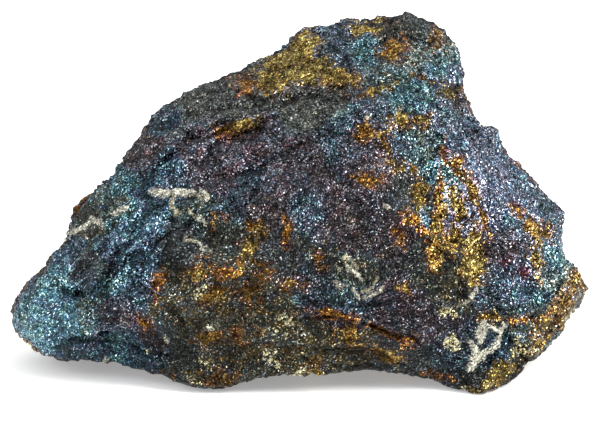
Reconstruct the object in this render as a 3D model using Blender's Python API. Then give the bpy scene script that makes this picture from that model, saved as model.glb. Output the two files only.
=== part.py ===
"""A bornite specimen: one broken lump of tarnished copper ore that stands on its own feet.

Run with: blender --background --python part.py
Metres, +Z up. The lump's best face looks along -Y, and its origin is on the floor, at the
middle of its footprint. It grew as one mass, so it is one solid.
"""

import math

import bmesh
import bpy
import numpy as np
from mathutils import Matrix, Vector, kdtree, noise

MM = 0.001

# Overall size, and how finely the surface is cut into triangles.
WIDTH = 120 * MM
VOXEL = 1.0 * MM
TRIANGLES = 8600
BALL_CUTS = 7

# The best face leans back by this angle. Sizes on the face are in millimetres: u to the right,
# v up the face, and w out of it, towards a viewer in front.
LEAN = math.radians(14)
FLOOR_DROP = 5.7
HEART = (0.5, 33.0)

# The lump's edge as seen square to its best face, from the left nose over the top and back.
OUTLINE = (
    (-60.2, 16.5), (-59.7, 20.0), (-56.6, 24.3), (-51.6, 29.5), (-47.6, 35.4), (-46.7, 39.6),
    (-40.6, 45.3), (-35.6, 51.8), (-31.8, 56.6), (-30.6, 59.3), (-25.0, 63.1), (-20.5, 65.2),
    (-12.5, 68.4), (-6.2, 72.2), (-2.8, 74.0), (0.8, 77.2), (6.6, 77.8), (9.8, 79.6),
    (12.0, 79.0), (15.2, 79.4), (22.4, 80.8), (26.0, 79.8), (31.0, 76.6), (34.0, 71.9),
    (34.0, 69.8), (35.2, 67.7), (33.9, 65.9), (36.6, 61.7), (37.0, 59.2), (41.1, 56.7),
    (42.6, 54.8), (42.8, 52.6), (45.9, 49.3), (51.1, 44.2), (53.2, 40.9), (55.5, 39.8),
    (56.0, 34.4), (55.6, 31.0), (58.3, 26.8), (60.2, 24.2), (60.4, 22.0), (57.9, 16.5),
    (53.4, 11.3), (50.9, 9.3), (50.0, 7.4), (45.9, 4.5), (43.6, 2.4), (38.7, 0.3),
    (35.6, 0.1), (31.4, 1.6), (25.3, 3.7), (17.7, 5.1), (12.5, 5.2), (6.6, 4.5),
    (-5.8, 3.5), (-9.6, 3.1), (-12.1, 2.0), (-16.9, 1.0), (-22.2, 1.6), (-28.2, 3.9),
    (-32.2, 4.3), (-40.8, 6.6), (-52.0, 7.0), (-54.4, 7.8), (-55.1, 9.8), (-58.5, 12.3),
    (-60.0, 14.4),
)
OUTLINE_STEPS = 8

# The edge stands forward at the foot, leans away towards the top, is bowed, and is rounded over
# this far in from the outline.
EDGE_FORWARD = 20.0
EDGE_LEAN = 0.37
EDGE_BOW = 0.0045
EDGE_ROUND_FRONT = 9.0
EDGE_ROUND_BACK = 15.0
LEAST_THICKNESS = 3.0

# The lump narrows towards the viewer by this share of its width for each millimetre.
FORWARD_TAPER = 1 / 600
TAPER_CENTRE = (0.5, 38.9)

# Broken faces, each as a point on it (u, v, w) and how much w grows per millimetre along u and v.
FRONT_FACES = {
    "main": ((0.5, 26.6, 25.5), (0.00, 0.06)),
    "undercut": ((0.5, 20.3, 25.5), (-0.03, 0.40)),
    "upper left slope": ((-10.0, 41.3, 24.5), (0.32, -0.66)),
    "right": ((21.5, 41.3, 24.0), (-0.52, -0.25)),
    "top cap": ((21.5, 70.7, 5.5), (-0.10, -1.20)),
    "left nose": ((-50.0, 18.2, 16.0), (0.42, -0.10)),
    "left undercut": ((-41.5, 11.9, 17.5), (0.20, 0.65)),
    "lower right chamfer": ((48.8, 14.0, 13.0), (-0.60, 0.30)),
}
BACK_FACES = {
    "back": ((0.0, 36.0, -34.0), (0.05, 0.10)),
    "back left slope": ((-34.0, 30.0, -25.0), (-0.55, 0.20)),
    "back right slope": ((34.0, 34.0, -27.0), (0.48, 0.12)),
    "back top slope": ((8.0, 62.0, -26.0), (-0.08, 0.85)),
    "back foot": ((4.0, 12.0, -26.0), (0.05, -1.20)),
}
FACE_ROUNDING = 0.9

# Ledges of the best face: a height, how far it fades, and its line in (u, v). The rock stands
# proud to the left of the line's travel and is sunk to the right of it.
LEDGES = {
    "upper lip": (2.0, 6.0, ((0.5, 60.8), (-6.2, 59.1), (-12.3, 59.6), (-17.1, 58.3),
                             (-23.8, 54.3), (-27.6, 51.6), (-33.5, 48.0))),
    "second step": (1.6, 5.0, ((0.1, 53.5), (-4.9, 51.2), (-8.7, 48.4), (-12.3, 46.3),
                               (-19.0, 44.2))),
    "under the top slab": (1.2, 5.0, ((10.6, 67.7), (0.5, 64.8), (-11.0, 64.0))),
    "left skirt": (1.8, 5.0, ((-27.2, 8.9), (-32.0, 9.4), (-36.9, 11.3), (-43.2, 11.3),
                              (-52.0, 11.7))),
    "low shelf": (1.4, 4.5, ((26.1, 11.3), (23.0, 12.5), (18.6, 14.8), (12.5, 17.6),
                             (4.5, 18.0))),
    "right lip": (2.2, 6.0, ((56.4, 25.7), (50.3, 20.1), (48.0, 16.5), (44.6, 13.4),
                             (40.6, 7.7), (38.3, 4.1))),
    "right shoulder": (1.8, 4.5, ((42.3, 53.7), (39.2, 52.8), (35.8, 53.7))),
    "crest": (1.6, 4.5, ((22.6, 36.0), (29.9, 28.7), (33.7, 22.4), (35.9, 19.2))),
}
LEDGE_SHARPNESS = 0.6

# Hollows of the best face: a depth, a half-width and the line of the bottom in (u, v).
HOLLOWS = {
    "nose hollow": (3.6, 2.4, ((-48.0, 24.0), (-44.0, 28.3), (-40.6, 31.2))),
    "nose crease": (1.2, 1.3, ((-49.2, 22.6), (-39.2, 27.5), (-34.3, 30.6), (-30.3, 33.7),
                               (-26.4, 37.3), (-24.0, 42.0))),
    "left crease": (1.0, 1.4, ((-40.6, 31.2), (-36.9, 34.9), (-33.1, 40.2), (-31.5, 45.0))),
    "upper groove": (1.2, 1.3, ((-20.3, 49.1), (-17.1, 53.5), (-14.2, 55.1))),
    "top hollow": (2.0, 2.6, ((16.5, 75.0), (20.0, 75.9), (24.5, 76.0))),
    "middle dip": (1.4, 4.0, ((8.0, 48.0), (11.0, 38.0), (13.0, 30.0))),
    "saddle": (1.2, 3.0, ((24.0, 52.0), (30.0, 57.0))),
}

# The broken surface: patches of this size, each tilted by up to this slope and set in or out,
# drawn out along the grain, which climbs to the right; then lumps as (size, height).
PATCHES = ((15.0, 0.10, 0.25), (6.5, 0.12, 0.20))
GRAIN = Vector((math.cos(math.radians(50)), 0.15, math.sin(math.radians(50)))).normalized()
GRAIN_STRETCH = 1.4
PATCH_WARP = 1.6
WARP_SHIFTS = (0, 70, 140)
LUMPS = ((26.0, 1.2), (11.0, 0.7), (5.0, 0.3))
CALM_EDGE = 7.0
FRONT_SHARE = 0.55
SEED = 2

# Feet that reach the floor, as (x, y, radius) in millimetres, under a hollow underside.
UNDERSIDE = 3.6
FOOT_REACH = 6.0
FEET = ((-19.0, -14.0, 9.0), (37.0, -14.0, 9.0), (9.0, 24.0, 13.0), (-30.0, 16.0, 9.0))

TARNISH = (0.20, 0.19, 0.24)


def smooth_least(values, rounding):
    """The least of several arrays, with the corners between them rounded off."""
    stack = np.stack(values)
    least = stack.min(axis=0)
    return least - rounding * np.log(np.exp((least - stack) / rounding).sum(axis=0))


def outline_curve():
    """The outline as a dense closed curve through its points."""
    points = np.array(OUTLINE)
    before, after, beyond = (np.roll(points, -k, axis=0) for k in (-1, 1, 2))
    share = (np.arange(OUTLINE_STEPS) / OUTLINE_STEPS)[None, :, None]
    a, b, c, d = (p[:, None, :] for p in (before, points, after, beyond))
    curve = b + 0.5 * share * (
        c - a + share * (2 * a - 5 * b + 4 * c - d + share * (3 * (b - c) + d - a))
    )
    return curve.reshape(-1, 2)


def outline_at(curve, turn):
    """The outline's (u, v) in the direction of each angle from the heart."""
    turns = np.arctan2(curve[:, 1] - HEART[1], curve[:, 0] - HEART[0])
    order = np.argsort(turns)
    return [np.interp(turn, turns[order], curve[order, k], period=2 * math.pi) for k in (0, 1)]


def line_distance(u, v, line):
    """Distance of each (u, v) from a bent line, and its side: positive to the left of travel."""
    best = np.full(u.shape, np.inf)
    side = np.ones(u.shape)
    for (u0, v0), (u1, v1) in zip(line, line[1:]):
        run, climb = u1 - u0, v1 - v0
        share = np.clip(((u - u0) * run + (v - v0) * climb) / (run**2 + climb**2), 0, 1)
        away = np.hypot(u - u0 - share * run, v - v0 - share * climb)
        nearer = away < best
        side = np.where(nearer, np.sign(run * (v - v0) - climb * (u - u0)), side)
        best = np.where(nearer, away, best)
    return best, side


def edge_depth(u, v):
    return EDGE_FORWARD - EDGE_LEAN * v - EDGE_BOW * u * u


def face_depth(faces, u, v):
    """w of every broken face over (u, v)."""
    return [w0 + du * (u - u0) + dv * (v - v0) for (u0, v0, w0), (du, dv) in faces.values()]


def round_over(inset, width):
    """Share of the full thickness reached this far in from the edge."""
    return np.sqrt(1 - (1 - np.clip(inset / width, 0, 1)) ** 2)


def main_forms(sphere):
    """Unit sphere points carried onto the lump's main forms: (x, y, z), (u, v), and the inset."""
    reach = np.clip(np.hypot(sphere[:, 0], sphere[:, 2]), 0, 1)
    curve = outline_curve()
    edge_u, edge_v = outline_at(curve, np.arctan2(sphere[:, 2], sphere[:, 0]))
    u = HEART[0] + reach * (edge_u - HEART[0])
    v = HEART[1] + reach * (edge_v - HEART[1])
    inset = line_distance(u, v, np.vstack([curve, curve[:1]]).tolist())[0]
    inset = np.where(reach > 0.9999, 0, inset)
    edge = edge_depth(u, v)
    front = smooth_least(face_depth(FRONT_FACES, u, v), FACE_ROUNDING) - edge
    back = edge + smooth_least([-w for w in face_depth(BACK_FACES, u, v)], FACE_ROUNDING)
    front = np.maximum(front, LEAST_THICKNESS) * round_over(inset, EDGE_ROUND_FRONT)
    back = np.maximum(back, LEAST_THICKNESS) * round_over(inset, EDGE_ROUND_BACK)
    w = edge + np.where(sphere[:, 1] < 0, front, -back)
    return u, v, w, inset


def face_to_room(u, v, w):
    """(x, y, z) in millimetres of points given on the leaning best face."""
    narrowing = 1 - w * FORWARD_TAPER
    u = TAPER_CENTRE[0] + (u - TAPER_CENTRE[0]) * narrowing
    v = TAPER_CENTRE[1] + (v - TAPER_CENTRE[1]) * narrowing
    y = v * math.sin(LEAN) - w * math.cos(LEAN)
    z = v * math.cos(LEAN) + w * math.sin(LEAN) - FLOOR_DROP
    return np.stack([u, y, z], axis=1)


def carving(u, v):
    """Height of the ledges and hollows over (u, v) of the best face."""
    height = np.zeros(u.shape)
    for rise, fade, line in LEDGES.values():
        away, side = line_distance(u, v, line)
        height += side * 0.5 * rise * np.tanh(away / LEDGE_SHARPNESS) * np.exp(-away / fade)
    for depth, width, line in HOLLOWS.values():
        away, _ = line_distance(u, v, line)
        height -= depth * np.exp(-((away / width) ** 2))
    return height


def lump_height(points, size):
    """Height of soft lumps of this size, between -1 and 1."""
    return np.array([noise.noise(Vector(p) / size, noise_basis="PERLIN_NEW") for p in points])


def patch_height(points, size, slope, offset, rng):
    """Height of flat tilted patches, one around each of many scattered seeds."""
    squeeze = Matrix.Scale(1 / GRAIN_STRETCH, 3, GRAIN)
    low = points.min(axis=0) - size
    high = points.max(axis=0) + size
    seeds = rng.uniform(low, high, (int(np.prod((high - low) / size)), 3))
    tilts = rng.normal(0, slope, seeds.shape)
    steps = rng.uniform(-offset, offset, len(seeds))
    tree = kdtree.KDTree(len(seeds))
    for index, seed in enumerate(seeds):
        tree.insert(squeeze @ Vector(seed), index)
    tree.balance()
    heights = np.empty(len(points))
    bends = np.stack([lump_height(points + shift, size / 1.5) for shift in WARP_SHIFTS], axis=1)
    for index, place in enumerate(points + PATCH_WARP * bends):
        nearest = tree.find(squeeze @ Vector(place))[1]
        heights[index] = tilts[nearest] @ (points[index] - seeds[nearest]) + steps[nearest]
    return heights


def floor_height(points):
    """Height of the underside over each point's place on the floor."""
    height = np.full(len(points), UNDERSIDE)
    for x, y, radius in FEET:
        away = np.hypot(points[:, 0] - x, points[:, 1] - y)
        height -= FOOT_REACH * np.exp(-((away / radius) ** 2))
    return height + np.clip(height / UNDERSIDE, 0, 1) * lump_height(points, 6.0)


def read_vertices(mesh, what="co"):
    values = np.empty(len(mesh.vertices) * 3)
    mesh.vertices.foreach_get(what, values)
    return values.reshape(-1, 3)


def write_vertices(mesh, points):
    mesh.vertices.foreach_set("co", points.ravel())
    mesh.update()


def shape_surface(mesh):
    """Turn a mesh of a unit sphere into the lump, in metres."""
    rng = np.random.RandomState(SEED)
    sphere = read_vertices(mesh)
    u, v, w, inset = main_forms(sphere)
    points = face_to_room(u, v, w)
    write_vertices(mesh, points)
    normals = read_vertices(mesh, "normal")
    height = np.zeros(len(points))
    for size, slope, offset in PATCHES:
        height += patch_height(points, size, slope, offset, rng)
    for size, rise in LUMPS:
        height += rise * lump_height(points, size)
    calm = np.clip(inset / CALM_EDGE, 0, 1)
    height *= (0.25 + 0.75 * calm) * np.interp(sphere[:, 1], (-0.6, 0.3), (FRONT_SHARE, 1))
    height += np.where(sphere[:, 1] < 0, carving(u, v), 0) * np.clip(calm * 1.5, 0, 1)
    points = points + normals * height[:, None]
    points[:, 2] = np.maximum(points[:, 2], floor_height(points))
    write_vertices(mesh, points * MM)


def cut_at_floor(mesh):
    """Slice the lump off flat at the floor, close the feet, and triangulate."""
    made = bmesh.new()
    made.from_mesh(mesh)
    everything = made.verts[:] + made.edges[:] + made.faces[:]
    bmesh.ops.bisect_plane(
        made, geom=everything, dist=1e-6, plane_co=(0, 0, 0), plane_no=(0, 0, 1), clear_inner=True
    )
    for vertex in made.verts:
        if abs(vertex.co.z) < 2e-6:
            vertex.co.z = 0
    rims = [edge for edge in made.edges if edge.is_boundary]
    bmesh.ops.triangle_fill(made, use_beauty=True, edges=rims, normal=(0, 0, -1))
    bmesh.ops.triangulate(made, faces=made.faces[:])
    bmesh.ops.recalc_face_normals(made, faces=made.faces[:])
    made.to_mesh(mesh)
    made.free()


def settle(mesh):
    """Scale to the full width and put the origin under the middle of the lump."""
    points = read_vertices(mesh)
    low, high = points.min(axis=0), points.max(axis=0)
    middle = (low + high) / 2
    middle[2] = 0
    write_vertices(mesh, (points - middle) * (WIDTH / (high[0] - low[0])))


def ore_material():
    material = bpy.data.materials.new("tarnished_ore")
    material.use_nodes = True
    shader = material.node_tree.nodes["Principled BSDF"]
    shader.inputs["Base Color"].default_value = (*TARNISH, 1)
    shader.inputs["Metallic"].default_value = 0.7
    shader.inputs["Roughness"].default_value = 0.5
    return material


def main():
    for obj in list(bpy.data.objects):
        bpy.data.objects.remove(obj)
    made = bmesh.new()
    bmesh.ops.create_icosphere(made, subdivisions=BALL_CUTS, radius=1)
    ball = bpy.data.meshes.new("ball")
    made.to_mesh(ball)
    made.free()
    shape_surface(ball)
    lump = bpy.data.objects.new("bornite_lump", ball)
    bpy.context.scene.collection.objects.link(lump)
    remesh = lump.modifiers.new("even surface", "REMESH")
    remesh.mode = "VOXEL"
    remesh.voxel_size = VOXEL
    thin = lump.modifiers.new("fewer triangles", "DECIMATE")
    thin.use_collapse_triangulate = True
    bpy.context.view_layer.update()
    graph = bpy.context.evaluated_depsgraph_get()
    fine = lump.evaluated_get(graph).data
    fine.calc_loop_triangles()
    thin.ratio = TRIANGLES / len(fine.loop_triangles)
    graph.update()
    mesh = bpy.data.meshes.new_from_object(lump.evaluated_get(graph))
    mesh.name = "bornite_lump"
    lump.modifiers.clear()
    lump.data = mesh
    bpy.data.meshes.remove(ball)
    cut_at_floor(mesh)
    settle(mesh)
    mesh.materials.append(ore_material())
    return lump


if __name__ == "__main__":
    main()
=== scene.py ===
"""Finish of a bornite specimen: a tarnished ore lump with brass-coloured ore, vein crust and grains.

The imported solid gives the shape. This script lays a finer broken surface over it, grows small
grains on it, and stands it on a plain pale floor in soft light.

Lengths are in metres, except where a name ends in _MM or _mm or a comment says millimetres. The
nodes work on places in millimetres. Marks on the front are placed in pixels of a picture 600 wide
and 423 high, because the camera here sees the lump as that picture does, and they are named after
the area of the lump that they lie on.
"""

import math
from collections import namedtuple

import bmesh
import bpy
import numpy as np
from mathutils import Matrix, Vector, noise


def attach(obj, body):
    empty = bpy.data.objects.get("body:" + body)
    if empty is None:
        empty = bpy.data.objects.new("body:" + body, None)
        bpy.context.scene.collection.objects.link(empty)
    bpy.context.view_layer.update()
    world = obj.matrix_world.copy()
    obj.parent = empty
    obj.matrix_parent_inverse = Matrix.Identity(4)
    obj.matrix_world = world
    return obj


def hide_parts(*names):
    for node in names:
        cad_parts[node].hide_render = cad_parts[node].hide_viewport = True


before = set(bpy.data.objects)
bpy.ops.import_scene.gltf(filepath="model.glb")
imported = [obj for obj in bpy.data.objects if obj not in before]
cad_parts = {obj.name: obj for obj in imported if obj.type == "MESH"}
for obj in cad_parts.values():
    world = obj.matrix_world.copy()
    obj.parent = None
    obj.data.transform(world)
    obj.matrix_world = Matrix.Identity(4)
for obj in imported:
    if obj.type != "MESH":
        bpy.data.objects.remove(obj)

bl_info = {
    "name": "Bornite Specimen",
    "version": (1, 0, 0),
    "blender": (4, 5, 0),
    "location": "3D View > Sidebar > Bornite",
    "description": "Tarnished ore lump with brass-coloured ore, vein crust and small grains",
    "category": "Object",
}

LUMP_NODE = "bornite_lump"
BODY = "root"
MM = 0.001

# What sums use for next to nothing and for farther off than anything.
TINY = 1e-9
FAR = 1e9

# The picture in pixels, and the camera that sees the lump as it does.
PICTURE_SIZE = (600, 423)
CAMERA_LEAN = math.radians(14)
CAMERA_AIM = Vector((0.000097, -0.003432, 0.031527))
CAMERA_DISTANCE = 0.59083
CAMERA_LENS = 171.43
CAMERA_SENSOR = 36.0
CAMERA_CLIP = 0.01

# Where each colour lies on the film's run, from bare brass to the thickest film.
FILM_STOPS = {
    "brass": 0.00,
    "copper": 0.12,
    "magenta": 0.22,
    "purple": 0.32,
    "violet": 0.45,
    "lavender": 0.55,
    "blue": 0.65,
    "teal": 0.78,
    "sea_green": 0.88,
    "olive": 1.00,
}

# A state of the tarnish. film is a place on that run, lively is how strongly the film colours, warm
# turns the dull ground from grey to brown, stain is the share of rusty spots on it, and mixed is how
# much the film differs from grain to grain.
Tarnish = namedtuple("Tarnish", "film lively warm stain mixed")
TEAL = Tarnish(0.76, 0.88, 0.15, 0.00, 0.5)
SEA_GREEN = Tarnish(0.84, 0.45, 0.40, 0.10, 0.9)
BLUE = Tarnish(0.68, 0.78, 0.10, 0.00, 0.5)
DUSK = Tarnish(0.66, 0.55, 0.25, 0.05, 0.7)
LAVENDER = Tarnish(0.58, 0.80, 0.10, 0.00, 0.4)
VIOLET = Tarnish(0.47, 0.46, 0.55, 0.10, 0.7)
PLUM = Tarnish(0.45, 0.36, 0.50, 0.25, 0.8)
OLIVE = Tarnish(0.90, 0.20, 0.60, 0.25, 0.8)
SLATE = Tarnish(0.74, 0.20, 0.50, 0.10, 0.8)
STEEL = Tarnish(0.80, 0.10, 0.50, 0.00, 0.8)
UMBER = Tarnish(0.86, 0.22, 0.90, 0.75, 1.0)
ROSE = Tarnish(0.22, 0.90, 0.30, 0.00, 0.6)

# Dabs of tarnish, for each area of the lump and each state: x, y, reach and light, which is how
# bright the ore is painted there: partly the tarnish's own brightness and partly painted light and
# shade, brighter where the lump faces the light. A place between dabs takes its state from the
# nearest ones.
Dab = namedtuple("Dab", "x y reach light")
TARNISH_DABS = {
    "nose": {
        TEAL: (Dab(40, 292, 20, 2.9), Dab(60, 318, 22, 2.55), Dab(22, 318, 12, 2.8)),
        SEA_GREEN: (Dab(88, 312, 14, 1.1),),
        VIOLET: (Dab(110, 318, 16, 0.9), Dab(160, 340, 14, 0.42)),
    },
    "under the nose": {
        TEAL: (Dab(116, 344, 14, 0.98),),
        BLUE: (
            Dab(82, 354, 14, 0.64), Dab(106, 352, 10, 0.66), Dab(142, 360, 12, 0.6),
            Dab(70, 342, 12, 0.5),
        ),
    },
    "left hollow": {
        SLATE: (Dab(90, 266, 16, 0.72),),
        DUSK: (Dab(82, 280, 8, 0.85), Dab(102, 246, 8, 0.85)),
        OLIVE: (Dab(92, 225, 10, 0.85),),
        BLUE: (Dab(62, 262, 10, 1.5), Dab(76, 250, 8, 1.1)),
        TEAL: (Dab(100, 285, 12, 1.3),),
    },
    "left flank": {
        BLUE: (
            Dab(130, 250, 22, 1.75), Dab(142, 280, 16, 1.5), Dab(150, 226, 12, 1.4),
            Dab(150, 205, 12, 1.1), Dab(163, 171, 14, 1.2),
        ),
        TEAL: (Dab(128, 222, 12, 1.5), Dab(118, 182, 12, 1.3)),
        SEA_GREEN: (Dab(112, 205, 12, 1.2), Dab(200, 215, 14, 0.7)),
        DUSK: (Dab(172, 186, 12, 1.1), Dab(230, 205, 14, 0.95)),
    },
    "left shoulder": {
        PLUM: (Dab(142, 150, 16, 1.0), Dab(262, 210, 14, 0.65)),
        DUSK: (Dab(158, 126, 8, 1.0), Dab(248, 182, 14, 1.05)),
        LAVENDER: (Dab(174, 116, 9, 1.2),),
        VIOLET: (
            Dab(205, 140, 18, 1.12), Dab(222, 165, 20, 1.05), Dab(265, 140, 18, 0.78),
            Dab(275, 175, 18, 0.98),
        ),
        STEEL: (Dab(190, 108, 20, 1.15), Dab(235, 100, 18, 1.0)),
    },
    "roof": {
        STEEL: (Dab(300, 110, 18, 1.2), Dab(400, 34, 16, 0.78), Dab(330, 105, 14, 1.3)),
        SLATE: (Dab(355, 82, 14, 1.0), Dab(420, 20, 12, 0.95)),
        DUSK: (Dab(335, 28, 14, 1.0), Dab(325, 45, 12, 0.9), Dab(350, 66, 10, 1.05)),
        TEAL: (Dab(366, 56, 12, 1.25), Dab(410, 93, 16, 1.3), Dab(436, 66, 8, 2.0)),
        SEA_GREEN: (Dab(425, 55, 14, 2.75), Dab(385, 75, 14, 1.2), Dab(444, 58, 8, 2.9)),
        BLUE: (Dab(455, 75, 10, 2.6),),
    },
    "centre": {
        VIOLET: (
            Dab(305, 160, 18, 0.95), Dab(345, 195, 24, 0.88), Dab(375, 205, 14, 0.8),
            Dab(365, 155, 16, 1.1),
        ),
        DUSK: (
            Dab(338, 140, 16, 0.95), Dab(308, 212, 14, 0.85), Dab(362, 112, 16, 1.1),
            Dab(345, 122, 12, 1.0),
        ),
        PLUM: (Dab(345, 232, 18, 0.66), Dab(385, 238, 20, 0.72), Dab(385, 190, 12, 0.95)),
        SLATE: (Dab(280, 255, 18, 0.55), Dab(405, 195, 14, 0.9)),
    },
    "low centre": {
        OLIVE: (Dab(330, 262, 14, 0.46), Dab(368, 268, 14, 0.55)),
        DUSK: (Dab(315, 285, 18, 0.46), Dab(350, 305, 14, 0.52)),
        VIOLET: (Dab(400, 305, 24, 0.56), Dab(425, 320, 20, 0.62), Dab(345, 322, 12, 0.50)),
        SLATE: (Dab(415, 262, 14, 0.5), Dab(405, 360, 26, 0.56), Dab(400, 375, 20, 0.52)),
        UMBER: (Dab(340, 355, 24, 0.58), Dab(440, 275, 22, 0.50)),
    },
    "low left": {
        UMBER: (
            Dab(290, 345, 24, 0.70), Dab(230, 352, 26, 0.72), Dab(205, 310, 22, 0.68),
            Dab(255, 300, 22, 0.65), Dab(172, 276, 13, 0.58), Dab(170, 304, 13, 0.58),
        ),
        OLIVE: (Dab(180, 335, 20, 0.55), Dab(225, 240, 16, 0.5)),
        SLATE: (Dab(180, 250, 20, 0.55),),
    },
    "right face": {
        DUSK: (Dab(455, 120, 16, 1.9), Dab(400, 150, 14, 1.15)),
        SEA_GREEN: (Dab(425, 142, 16, 1.35), Dab(470, 100, 10, 1.6)),
        BLUE: (Dab(450, 140, 14, 1.6),),
        TEAL: (Dab(443, 168, 14, 1.9), Dab(447, 186, 7, 2.6), Dab(424, 216, 6, 2.2)),
        LAVENDER: (Dab(464, 216, 8, 2.4), Dab(446, 226, 6, 2.2)),
    },
    "right shoulder": {
        LAVENDER: (
            Dab(475, 140, 18, 2.2), Dab(495, 165, 20, 2.85), Dab(510, 195, 20, 2.8),
            Dab(490, 215, 14, 1.8),
        ),
        DUSK: (Dab(535, 185, 18, 2.5), Dab(515, 225, 12, 1.6), Dab(555, 225, 12, 1.6)),
        VIOLET: (Dab(500, 245, 14, 1.0),),
        ROSE: (Dab(480, 250, 6, 1.2), Dab(511, 230, 5, 1.7)),
    },
    "right end": {
        BLUE: (Dab(522, 292, 12, 1.6), Dab(506, 345, 12, 0.8)),
        SLATE: (Dab(532, 310, 10, 1.0), Dab(470, 375, 16, 0.5)),
        LAVENDER: (Dab(512, 275, 14, 1.3),),
        TEAL: (
            Dab(552, 248, 10, 3.1), Dab(557, 262, 7, 3.0), Dab(541, 300, 8, 2.1), Dab(523, 312, 6, 1.8),
        ),
        SEA_GREEN: (Dab(515, 320, 16, 0.85), Dab(538, 330, 12, 0.9), Dab(552, 272, 14, 3.2)),
        DUSK: (Dab(492, 285, 14, 0.75), Dab(450, 360, 20, 0.5), Dab(490, 362, 10, 0.55)),
        UMBER: (Dab(566, 312, 14, 2.0), Dab(575, 290, 10, 2.1)),
        ROSE: (Dab(524, 273, 6, 1.3), Dab(505, 262, 5, 1.1)),
        OLIVE: (Dab(525, 360, 14, 0.55),),
    },
}

# A dab's weight falls to about a third where the square of the distance, counted in reaches, is
# DAB_FALL. Far off it keeps a little weight.
DAB_FALL = 0.6
DAB_FAR_WEIGHT = 1e-4
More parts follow.
